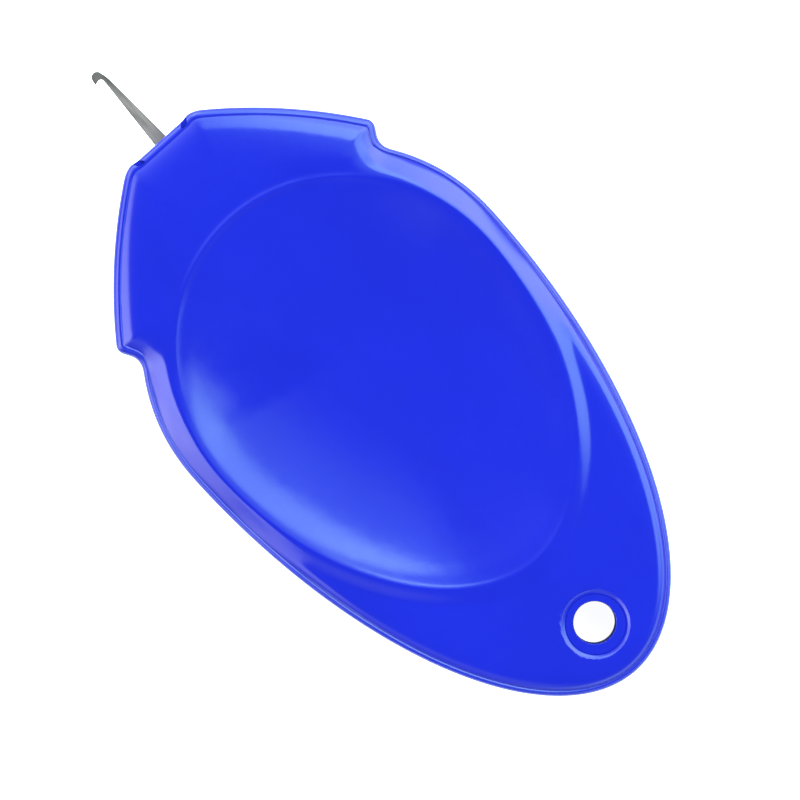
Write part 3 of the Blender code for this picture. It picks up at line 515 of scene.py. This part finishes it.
def add_solid(bm, rings):
    """A closed solid through rings of points, all with as many points."""
    made = [[bm.verts.new(point) for point in ring] for ring in rings]
    bm.faces.new(made[0])
    bm.faces.new(reversed(made[-1]))
    for lower, upper in zip(made, made[1:]):
        for i in range(len(lower)):
            j = (i + 1) % len(lower)
            bm.faces.new((lower[j], lower[i], upper[i], upper[j]))


def add_prism(bm, corners, low, high, axis="z"):
    """A closed prism over a polygon. Its corners leave out the axis: (y, z) when that is x."""
    def at(a, b, level):
        return {"x": (level, a, b), "y": (a, level, b), "z": (a, b, level)}[axis]
    add_solid(bm, [[at(*corner, level) for corner in corners] for level in (low, high)])


def add_layers(bm, layers):
    """A closed solid through stacked outlines of (points, z)."""
    add_solid(bm, [[(*point, z) for point in points] for points, z in layers])


def rounded_rectangle(x, y, radius, steps=10):
    corners = []
    centres = ((x[1] - radius, y[1] - radius, 0), (x[0] + radius, y[1] - radius, 1),
               (x[0] + radius, y[0] + radius, 2), (x[1] - radius, y[0] + radius, 3))
    for cx, cy, quarter in centres:
        for step in range(steps + 1):
            angle = math.pi / 2.0 * (quarter + step / steps)
            corners.append((cx + radius * math.cos(angle), cy + radius * math.sin(angle)))
    return corners


def circle(x, y, radius, sides=96):
    angles = np.linspace(0.0, 2.0 * math.pi, sides, endpoint=False)
    return np.column_stack((x + radius * np.cos(angles), y + radius * np.sin(angles))).tolist()


def fillet(centre, radius, start, end, steps=6):
    """Profile points along an arc between two angles in degrees."""
    angles = np.radians(np.linspace(start, end, steps))
    return [(centre[0] + radius * math.cos(a), centre[1] + radius * math.sin(a)) for a in angles]


# --- front shell -------------------------------------------------------------------------

def spaced(low, high, steps, power=1.0):
    """Radii from low to high, closer together near high when the power is above 1."""
    return [low + (high - low) * (1.0 - (1.0 - u) ** power)
            for u in np.linspace(0.0, 1.0, steps + 1)[1:]]


def front_rings():
    """Rings from the dish's middle out over the crest and the bead to the seam."""
    crease_at, crease_z = (graded(OUTLINE[:, 1], t) for t in (CREASE_INSETS, CREASE_HEIGHTS))
    crease = inset_radii(crease_at)
    inner_ridge, outer_ridge = CREST_RADII - RIDGE_REACH, CREST_RADII + RIDGE_REACH
    foot = np.minimum(CREST_RADII + PILLOW_WIDTHS[0][1] + FOOT_REACH,
                      (outer_ridge + crease) / 2.0)
    edge = np.clip(inset_radii(EDGE_ZONE), foot + EDGE_ZONE_SHARE * (crease - foot), crease)
    first = CREST_RADII * FIRST_RING
    radii = [first] + spaced(first, inner_ridge, 30, 1.4)
    radii += spaced(inner_ridge, outer_ridge, 12) + spaced(outer_ridge, foot, 10)
    radii += spaced(foot, edge, 9) + spaced(edge, crease, 18, 1.5)
    rings = [ring_at(r, face_height) for r in radii]
    bead_top = crease_at - CREASE_WIDTH
    bead = [(crease_at - 0.5 * CREASE_WIDTH, crease_z + CREASE_MIDDLE_RISE)]
    bead += [(bead_top - (bead_top - WALL_DRAFT) * math.sin(a),
              crease_z + BEAD_RISE - BEAD_HEIGHT * (1.0 - math.cos(a)))
             for a in np.linspace(0.0, math.pi / 2.0, 16)]
    rings += [ring_at(inset_radii(inset), z) for inset, z in bead]
    seam = SEAM_Z + SEAM_GAP / 2.0
    rings += [ring_at(inset_radii(WALL_DRAFT * share), seam + (bead[-1][1] - seam) * share)
              for share in (0.8, 0.4)]
    inset, rise = SEAM_EDGE
    rings += [ring_at(OUTLINE_RADII, seam + rise), ring_at(inset_radii(inset), seam)]
    return rings + front_inner_rings(seam)


def front_inner_rings(seam):
    """Rings inside the shell, from the seam in to the middle under the dish."""
    def under(x, y):
        return face_height(x, y) - WALL
    skirt, groove_z = inset_radii(SKIRT_INSET), TONGUE_TOP_Z + SEAM_GAP
    inner, corner, shoulder = (inset_radii(WALL + past) for past in INNER_INSETS)
    rings = [ring_at(skirt, seam), ring_at(skirt, groove_z), ring_at(inner, groove_z),
             ring_at(inner, INNER_HEIGHTS[0]), ring_at(corner, INNER_HEIGHTS[1]),
             ring_at(shoulder, under)]
    under_dish = np.minimum(CREST_RADII, shoulder - SHOULDER_STEP)
    return rings + [ring_at(under_dish * share, under) for share in INNER_RING_SHARES]


def add_hole(bm):
    """Cutter for the key ring hole, with a rounded edge and a wider round at the back."""
    back, front, top = HOLE_BACK_ROUND, HOLE_FRONT_ROUND, TAIL_FACE_Z
    steps = [(HOLE_RADIUS + back, -CUT_PAST)]
    steps += [(HOLE_RADIUS + back - r, z) for r, z in fillet((0.0, back), back, -90.0, 0.0)]
    steps += [(HOLE_RADIUS + front - r, z)
              for r, z in fillet((0.0, top - RING_DEPTH - front), front, 0.0, HOLE_ROUND_END)]
    steps.append((HOLE_RADIUS + front, top + CUT_PAST))
    add_layers(bm, [(circle(HOLE_X, HOLE_Y, r), z) for r, z in steps])


def add_sunk_ring(bm):
    """Cutter for the ring round the hole: a flat floor, a fine groove and a soft slope."""
    top = TAIL_FACE_Z
    floor, width = top - RING_DEPTH, RING_RADIUS - RING_FLOOR_RADIUS
    inside, groove_z = RING_FLOOR_RADIUS - RING_GROOVE_WIDTH, floor - RING_GROOVE_DEPTH
    steps = [(RING_CUTTER_RADIUS, floor), (inside, floor), (inside + RING_GROOVE_SIDE, groove_z),
             (RING_FLOOR_RADIUS - RING_GROOVE_SIDE, groove_z)]
    steps += [(RING_FLOOR_RADIUS + width * u, floor + RING_DEPTH * u ** RING_POWER)
              for u in np.linspace(0.0, 1.0 + RING_OVERRUN, 12)]
    steps.append((RING_RADIUS + RING_OVERRUN * width, top + RING_CUTTER_TOP))
    add_layers(bm, [(circle(RING_X, RING_Y, r, 128), z) for r, z in steps])


def add_nose_pocket(bm, side):
    """The small pocket where the crease runs out through the end of the nose lip."""
    corners = [(side * x, y) for x, y in NOSE_POCKET]
    add_prism(bm, corners if side < 0 else corners[::-1], NOSE_POCKET_Z, CREST_Z)


def add_mouth(bm, high):
    """The opening in the nose that the hook slides through."""
    corners = rounded_rectangle((-LIP_X, LIP_X), (MOUTH_LOW_Z, high), MOUTH_ROUND, steps=5)
    add_prism(bm, corners, NOSE_Y - MOUTH_DEPTH, NOSE_Y + CUT_PAST, axis="y")


def finish_hole_wall(shell):
    """Gives the wall of the key ring hole the shell's second finish: dull, with painted shade."""
    for polygon in shell.data.polygons:
        x, y = polygon.center.xy / METRES_PER_UNIT
        near = math.hypot(x - HOLE_X, y - HOLE_Y) < HOLE_RADIUS + HOLE_WALL_REACH
        if near and abs(polygon.normal.z) < HOLE_WALL_NORMAL_Z:
            polygon.material_index = 1


def make_case_front(finish, dull_and_shaded):
    bm = bmesh.new()
    middle = CREST_Z - DISH_DEPTH
    add_loft(bm, front_rings(), (0.0, CENTRE_Y, middle), (0.0, CENTRE_Y, middle - WALL))
    front = mesh_object("case_front", bm, (finish, dull_and_shaded))
    boss = bmesh.new()
    add_layers(boss, [(circle(HOLE_X, HOLE_Y, BOSS_RADIUS), z)
                      for z in (SEAM_Z + SEAM_GAP, BOSS_Z[1])])
    boolean(front, "UNION", boss)
    cuts = bmesh.new()
    add_hole(cuts)
    boolean(front, "DIFFERENCE", cuts)
    ring = bmesh.new()
    add_sunk_ring(ring)
    boolean(front, "DIFFERENCE", ring)
    pockets = bmesh.new()
    for side in (-1.0, 1.0):
        add_nose_pocket(pockets, side)
    boolean(front, "DIFFERENCE", pockets)
    mouth = bmesh.new()
    add_mouth(mouth, FRONT_MOUTH_HIGH_Z)
    boolean(front, "DIFFERENCE", mouth)
    finish_hole_wall(front)
    weigh_normals(front)
    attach(front, "case")
    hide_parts("front_shell")


# --- back shell --------------------------------------------------------------------------

def recess_limits(margin):
    """The thumb slide's whole path with a margin round it."""
    x = THUMB_HIGH[0] + margin
    return (-x, x), (THUMB_LOW[1] - HOOK_TRAVEL - margin, THUMB_HIGH[1] + margin)


def back_rings():
    """Rings from the middle of the flat back out over the edge and the tongue, and in again."""
    seam = SEAM_Z - SEAM_GAP / 2.0
    outer = [(BACK_FLAT_INSET, 0.0)]
    outer += [(BACK_EDGE_INSET * (1.0 - math.sin(a)), BACK_EDGE_RISE * (1.0 - math.cos(a)))
              for a in np.linspace(BACK_EDGE_START, math.pi / 2.0, 12)]
    outer += [(0.0, seam - SEAM_EDGE[1]), (SEAM_EDGE[0], seam)]
    tongue_out, tongue_in = TONGUE_INSETS
    inner = [(tongue_out, seam), (tongue_out, TONGUE_TOP_Z), (tongue_in, TONGUE_TOP_Z),
             (tongue_in, TONGUE_FOOT_Z), *BACK_CORNER]
    rings = [ring_at(inset_radii(BACK_FLAT_INSET) * share, 0.0) for share in BACK_FLAT_SHARES]
    rings += [ring_at(inset_radii(inset), z) for inset, z in outer + inner]
    return rings + [ring_at(inset_radii(BACK_CORNER[-1][0]) * BACK_MIDDLE_SHARE, WALL)]


def recess_layers():
    """The recess for the thumb slide, with a rounded rim and a rounded corner at its floor."""
    x, y = recess_limits(RECESS_MARGIN)
    rim, corner = RECESS_RIM_ROUND, RECESS_FLOOR_ROUND
    first_angle, first_z = RECESS_RIM_START
    steps = [(rim, -CUT_PAST), (rim, first_z)]
    steps += [(rim - rim * math.sin(a), rim - rim * math.cos(a))
              for a in np.linspace(first_angle, math.pi / 2.0, 6)]
    steps += [(-corner + corner * math.cos(a), RECESS_DEPTH - corner + corner * math.sin(a))
              for a in np.linspace(0.0, math.pi / 2.0, 6)]
    return [(rounded_rectangle((x[0] - grow, x[1] + grow), (y[0] - grow, y[1] + grow),
                               RECESS_CORNER + grow), z) for grow, z in steps]


def make_case_back(finish, dull_and_shaded):
    bm = bmesh.new()
    add_loft(bm, back_rings(), (0.0, CENTRE_Y, 0.0), (0.0, CENTRE_Y, WALL))
    back = mesh_object("case_back", bm, (finish, dull_and_shaded))
    added = bmesh.new()
    add_layers(added, [(circle(HOLE_X, HOLE_Y, BOSS_RADIUS), z)
                       for z in (BOSS_Z[0], SEAM_Z - SEAM_GAP / 2.0 - BOSS_GAP)])
    bed = recess_limits(RECESS_MARGIN + RECESS_WALL)
    add_prism(added, rounded_rectangle(*bed, RECESS_BED_CORNER), *RECESS_BED_Z)
    boolean(back, "UNION", added)
    recess = bmesh.new()
    add_layers(recess, recess_layers())
    boolean(back, "DIFFERENCE", recess)
    cuts = bmesh.new()
    x = STEM_HALF_WIDTH + CLEARANCE
    slot_y = (STEM_Y[0] - HOOK_TRAVEL - CLEARANCE, STEM_Y[1] + CLEARANCE)
    add_prism(cuts, rounded_rectangle((-x, x), slot_y, SLOT_CORNER, steps=4), *SLOT_Z)
    add_hole(cuts)
    boolean(back, "DIFFERENCE", cuts)
    mouth = bmesh.new()
    add_mouth(mouth, BACK_MOUTH_HIGH_Z)
    boolean(back, "DIFFERENCE", mouth)
    finish_hole_wall(back)
    weigh_normals(back)
    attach(back, "case")
    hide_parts("back_shell")


# --- hook and thumb slide ----------------------------------------------------------------

def hook_outline():
    """The stamped hook from its tang to the barb, which points to -X and a little back."""
    tip, nose = HOOK_HIGH[1], NOSE_Y - LIP_SET_BACK
    tang_x, tang_low = HOOK_HIGH[0], HOOK_LOW[1]
    shank_low = TANG_TOP_Y + TANG_TAPER

    def shank(x, share):
        """A point on one side of the shank, from the nose up to the neck."""
        return x[0] + (x[1] - x[0]) * share, nose + share * (NECK_Y - nose)

    right = [(tang_x, tang_low), (tang_x, TANG_TOP_Y), (SHANK_RIGHT_X[0], shank_low)]
    right += [shank(SHANK_RIGHT_X, share) for share in np.linspace(0.0, 1.0, 6)]
    right += NECK_RIGHT
    crown = fillet((CROWN_X, tip - CROWN_RADIUS), CROWN_RADIUS, *CROWN_ARC, 18)
    barb = [(x, tip - below) for x, below in BARB]
    throat = fillet((THROAT_X, tip - THROAT_BELOW), THROAT_RADIUS, *THROAT_ARC, 10)
    left = [shank(SHANK_LEFT_X, share) for share in np.linspace(1.0, 0.0, 6)]
    left += [(SHANK_LEFT_X[0], shank_low), (-tang_x, TANG_TOP_Y), (-tang_x, tang_low)]
    return right + crown + barb + throat + left


def make_thread_hook(face, edge):
    """Flat stamped steel with a small rounding on its edges, which are darker than its faces."""
    bm = bmesh.new()
    add_prism(bm, hook_outline(), HOOK_LOW[2], HOOK_HIGH[2])
    hook = mesh_object("thread_hook", bm, (face, edge), smooth_angle=50.0)
    for polygon in hook.data.polygons:
        polygon.material_index = 0 if abs(polygon.normal.z) > 0.5 else 1
    hole = bmesh.new()
    add_prism(hole, circle(0.0, RIVET_HOLE_Y, RIVET_HOLE_RADIUS, 48), *RIVET_HOLE_Z)
    boolean(hook, "DIFFERENCE", hole)
    round_edges = hook.modifiers.new("rounded_edges", "BEVEL")
    round_edges.width = HOOK_EDGE_ROUND * METRES_PER_UNIT
    round_edges.segments = 3
    round_edges.limit_method = "ANGLE"
    round_edges.angle_limit = math.radians(60.0)
    round_edges.use_clamp_overlap = True
    round_edges.material = 1
    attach(hook, "slider")
    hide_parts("hook")


def make_thumb_button(finish):
    """The ribbed thumb slide, with crowned ribs and a stem that snaps into the carriage."""
    half, (low, high) = THUMB_HIGH[0], (THUMB_LOW[1], THUMB_HIGH[1])
    bm = bmesh.new()
    add_layers(bm, [(rounded_rectangle((-half + inset, half - inset), (low + inset, high - inset),
                                       BUTTON_CORNER - inset), z) for inset, z in BUTTON_LAYERS])
    button = mesh_object("thumb_button", bm, (finish,))
    ribs = bmesh.new()
    end_x, end_y = RIB_END_INSETS
    for y in np.linspace(low + end_y, high - end_y, RIB_COUNT):
        profile = [(float(y) + RIB_RADII[0] * math.cos(a), RIB_Z - RIB_RADII[1] * math.sin(a))
                   for a in np.linspace(-RIB_SINK, math.pi + RIB_SINK, 14)]
        add_prism(ribs, profile, -half + end_x, half - end_x, axis="x")
    boolean(button, "UNION", ribs)
    stem = bmesh.new()
    x, (neck_z, snap_z), snap_x = STEM_HALF_WIDTH, STEM_SNAP_Z, STEM_HALF_WIDTH + STEM_SNAP_REACH
    tip_x = x - STEM_TIP_INSET
    side = ((-x, STEM_FOOT_Z), (x, STEM_FOOT_Z), (x, neck_z), (snap_x, snap_z),
            (tip_x, THUMB_HIGH[2]), (-tip_x, THUMB_HIGH[2]), (-snap_x, snap_z), (-x, neck_z))
    add_prism(stem, side, *reversed(STEM_Y), axis="y")
    boolean(button, "UNION", stem)
    weigh_normals(button)
    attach(button, "slider")
    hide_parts("thumb_slide")


# --- materials ---------------------------------------------------------------------------

class Graph:
    """A node tree, with short calls for the nodes that this script uses."""

    def __init__(self, tree):
        self.tree = tree

    def node(self, kind, **values):
        made = self.tree.nodes.new(kind)
        for key, value in values.items():
            setattr(made, key, value)
        return made

    def link(self, start, end):
        self.tree.links.new(start, end)

    def feed(self, socket, value):
        """Links another node's output to a socket, or sets the socket to a number."""
        if isinstance(value, (int, float)):
            socket.default_value = value
        else:
            self.link(value, socket)

    def math(self, operation, a, b=0.0):
        node = self.node("ShaderNodeMath", operation=operation)
        self.feed(node.inputs[0], a)
        self.feed(node.inputs[1], b)
        return node.outputs["Value"]

    def ramp(self, value, *stops):
        """A colour ramp through (position, colour) stops; a number stands for a grey."""
        ramp = self.node("ShaderNodeValToRGB")
        elements = ramp.color_ramp.elements
        while len(elements) < len(stops):
            elements.new(0.5)
        for element, (position, colour) in zip(elements, stops):
            element.position = position
            grey = isinstance(colour, (int, float))
            element.color = (colour,) * 3 + (1.0,) if grey else (*colour, 1.0)
        self.link(value, ramp.inputs["Fac"])
        return ramp.outputs["Color"]


class Finish(Graph):
    """A Principled material with its shader and its place on the object."""

    def __init__(self, name):
        self.made = bpy.data.materials.new(name)
        self.made.use_nodes = True
        super().__init__(self.made.node_tree)
        self.shader = self.tree.nodes["Principled BSDF"]
        self.place = self.node("ShaderNodeTexCoord").outputs["Object"]

    def set(self, **values):
        for name, value in values.items():
            self.shader.inputs[name.replace("_", " ")].default_value = value

    def drive(self, socket, value, *stops):
        """Sends a value through a colour ramp into one of the shader's sockets."""
        self.link(self.ramp(value, *stops), self.shader.inputs[socket])

    def scaled(self, x, y, z):
        mapping = self.node("ShaderNodeMapping")
        mapping.inputs["Scale"].default_value = (x, y, z)
        self.link(self.place, mapping.inputs["Vector"])
        return mapping.outputs["Vector"]

    def noise(self, per_metre, detail=2.0, roughness=0.5, stretch=(1.0, 1.0, 1.0)):
        noise = self.node("ShaderNodeTexNoise")
        noise.inputs["Scale"].default_value = per_metre
        noise.inputs["Detail"].default_value = detail
        noise.inputs["Roughness"].default_value = roughness
        self.link(self.scaled(*stretch), noise.inputs["Vector"])
        return noise.outputs["Fac"]

    def bump(self, height, distance_mm):
        bump = self.node("ShaderNodeBump")
        bump.inputs["Distance"].default_value = distance_mm * METRES_PER_UNIT
        bump.inputs["Strength"].default_value = 1.0
        self.link(height, bump.inputs["Height"])
        self.link(bump.outputs["Normal"], self.shader.inputs["Normal"])


def glossy_blue():
    """Polished blue plastic: faint flow clouds in the colour, handling haze and a fine ripple."""
    f = Finish("glossy_blue_plastic")
    cloud = f.noise(90.0, detail=4.0, roughness=0.6, stretch=(1.0, 0.6, 1.0))
    f.drive("Base Color", cloud, (0.25, (0.0062, 0.0110, 0.288)), (0.75, (0.0074, 0.0130, 0.330)))
    haze = f.noise(700.0, detail=5.0, roughness=0.65)
    f.drive("Roughness", haze, (0.3, 0.10), (0.8, 0.15))
    f.set(IOR=1.5)
    f.bump(f.noise(900.0, detail=3.0), 0.004)
    return f.made


def textured_blue():
    """The back: the same blue with the fine spark texture of the mould."""
    f = Finish("textured_blue_plastic")
    cloud = f.noise(90.0, detail=4.0, roughness=0.6)
    f.drive("Base Color", cloud, (0.25, (0.0060, 0.0110, 0.278)), (0.75, (0.0076, 0.0138, 0.326)))
    f.drive("Roughness", f.noise(3500.0, detail=2.0), (0.3, 0.32), (0.8, 0.46))
    f.bump(f.noise(4200.0, detail=2.0), 0.012)
    return f.made


def dull_shaded_blue():
    """Unpolished blue for the hole's wall, painted darker than the shell's as shade in the hole.
    """
    f = Finish("dull_shaded_blue_plastic")
    cloud = f.noise(700.0, detail=3.0)
    # the darker blue here is painted shade in the hole
    f.drive("Base Color", cloud, (0.3, (0.003, 0.006, 0.10)), (0.7, (0.005, 0.010, 0.16)))
    f.drive("Roughness", cloud, (0.3, 0.75), (0.7, 0.9))
    f.set(Specular_IOR_Level=0.05)
    f.bump(f.noise(4200.0, detail=2.0), 0.01)
    return f.made


def hook_edge():
    """The hook's edges, coloured much darker than its faces."""
    f = Finish("hook_edge_steel")
    stain = f.noise(2500.0, detail=3.0, roughness=0.6)
    f.drive("Base Color", stain, (0.3, (0.02, 0.019, 0.019)), (0.7, (0.06, 0.056, 0.056)))
    f.drive("Roughness", stain, (0.3, 0.5), (0.7, 0.7))
    f.set(Specular_IOR_Level=0.3)
    f.bump(stain, 0.003)
    return f.made


def rolled_steel(name, dark, light, roughness, grain, dark_tip_y=None):
    """Rolled or ground steel with its grain along Y, a few darker stains and maybe a dark tip."""
    f = Finish(name)
    streak = f.noise(3000.0, detail=4.0, stretch=(1.0, grain, 1.0))
    stain = f.noise(900.0, detail=3.0, roughness=0.6)
    mixed = f.math("ADD", f.math("MULTIPLY", streak, 0.65), f.math("MULTIPLY", stain, 0.35))
    if dark_tip_y:
        split = f.node("ShaderNodeSeparateXYZ")
        f.link(f.place, split.inputs["Vector"])
        low, high = (y * METRES_PER_UNIT for y in dark_tip_y)
        share = f.math("DIVIDE", f.math("SUBTRACT", split.outputs["Y"], low), high - low)
        share = f.math("MINIMUM", f.math("MAXIMUM", share, 0.0), 1.0)
        mixed = f.math("SUBTRACT", mixed, f.math("MULTIPLY", share, 0.4))
    f.drive("Base Color", mixed, (0.0, tuple(0.5 * v for v in dark)), (0.3, dark), (0.7, light))
    f.drive("Roughness", streak, (0.2, roughness - 0.06), (0.8, roughness + 0.1))
    f.set(Metallic=1.0)
    f.bump(streak, 0.004)
    return f.made


def natural_acetal():
    """Waxy white moulded plastic."""
    f = Finish("natural_acetal")
    cloud = f.noise(400.0, detail=3.0)
    f.drive("Base Color", cloud, (0.3, (0.74, 0.73, 0.68)), (0.7, (0.82, 0.81, 0.77)))
    f.drive("Roughness", f.noise(2500.0), (0.3, 0.36), (0.7, 0.46))
    f.bump(f.noise(2500.0, detail=2.0), 0.006)
    return f.made


def turned_brass():
    """Brass with patches of tarnish."""
    f = Finish("rivet_brass")
    tarnish = f.noise(1500.0, detail=4.0)
    f.drive("Base Color", tarnish, (0.3, (0.52, 0.36, 0.15)), (0.7, (0.76, 0.58, 0.27)))
    f.drive("Roughness", tarnish, (0.3, 0.38), (0.7, 0.24))
    f.set(Metallic=1.0)
    return f.made


def pale_floor():
    """A pale table that glows a little, so that it stays plain and even."""
    f = Finish("pale_table")
    f.drive("Base Color", f.noise(3.0, detail=2.0), (0.3, 0.86), (0.7, 0.89))
    f.set(Roughness=0.75, Emission_Color=(1.0, 1.0, 1.0, 1.0), Emission_Strength=FLOOR_GLOW)
    return f.made


def finish_node(name, finish):
    """Gives a carried-over CAD node its material."""
    node = frame["nodes"][name]
    node.data.materials.clear()
    node.data.materials.append(finish)


# --- stage, light and camera -------------------------------------------------------------

def make_floor():
    bm = bmesh.new()
    bmesh.ops.create_grid(bm, x_segments=1, y_segments=1, size=FLOOR_HALF_WIDTH)
    floor = mesh_object("table_top", bm, (pale_floor(),))
    floor.location.z = -FLOOR_GAP * METRES_PER_UNIT


def make_world():
    """A studio dome with a dark zenith, so that flat gloss stays deep in colour. A broad panel at
    +X runs high overhead, a weaker one stands lower at -X, and small cards fill in between.
    """
    world = bpy.data.worlds.new("studio")
    world.use_nodes = True
    g = Graph(world.node_tree)
    split = g.node("ShaderNodeSeparateXYZ")
    g.link(g.node("ShaderNodeTexCoord").outputs["Generated"], split.inputs["Vector"])
    x, y, z = (split.outputs[axis] for axis in "XYZ")
    level = g.math("SQRT", g.math("SUBTRACT", 1.0, g.math("MULTIPLY", z, z)))   # 0 overhead

    def towards(azimuth):
        """Cosine of the angle between this direction and an azimuth; 0 is +X and 90 is +Y."""
        a = math.radians(azimuth)
        across = g.math("ADD", g.math("MULTIPLY", x, math.cos(a)),
                        g.math("MULTIPLY", y, math.sin(a)))
        return g.math("DIVIDE", across, g.math("MAXIMUM", level, LEAST_LEVEL))

    def panel(azimuth, spread, heights):
        """Radiance over the level, weighed by how near the azimuth is."""
        weight = g.ramp(towards(azimuth), *spread)
        scaled = g.node("ShaderNodeVectorMath", operation="MULTIPLY")
        g.link(g.ramp(level, *heights), scaled.inputs[0])
        g.link(weight, scaled.inputs[1])
        return scaled.outputs["Vector"]

    total = g.ramp(level, *DOME)
    for azimuth, spread, heights in PANELS:
        added = g.node("ShaderNodeVectorMath", operation="ADD")
        g.link(total, added.inputs[0])
        g.link(panel(azimuth, spread, heights), added.inputs[1])
        total = added.outputs["Vector"]
    background = world.node_tree.nodes["Background"]
    g.link(total, background.inputs["Color"])
    background.inputs["Strength"].default_value = DOME_STRENGTH
    bpy.context.scene.world = world


def make_camera():
    data = bpy.data.cameras.new("camera")
    data.sensor_width = SENSOR_WIDTH
    data.lens = SENSOR_WIDTH * CAMERA_HEIGHT / VIEW_WIDTH
    data.clip_start, data.clip_end = CAMERA_CLIP
    camera = bpy.data.objects.new("camera", data)
    aim = np.array(CAMERA_AIM) + (0.0, 0.0, CAMERA_HEIGHT)
    camera.location = aim * METRES_PER_UNIT
    camera.rotation_euler = (0.0, 0.0, math.radians(CAMERA_TURN))
    bpy.context.scene.collection.objects.link(camera)
    bpy.context.scene.camera = camera


def main():
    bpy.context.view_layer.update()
    # the hole's wall: a dull finish with painted shade in its darker blue
    back_finish, dull_and_shaded = textured_blue(), dull_shaded_blue()
    make_case_front(glossy_blue(), dull_and_shaded)
    make_case_back(back_finish, dull_and_shaded)
    face = rolled_steel("hook_face_steel", (0.21, 0.162, 0.165), (0.32, 0.247, 0.251), 0.42, 0.08,
                        dark_tip_y=DARK_TIP_Y)
    make_thread_hook(face, hook_edge())
    make_thumb_button(back_finish)
    finish_node("carriage", natural_acetal())
    finish_node("detent_spring", rolled_steel("spring_steel", (0.36, 0.36, 0.37),
                                              (0.55, 0.55, 0.56), 0.24, 0.1))
    finish_node("hook_rivet", turned_brass())
    make_floor()
    make_world()
    make_camera()
    bpy.context.scene.view_settings.view_transform = "Standard"


main()
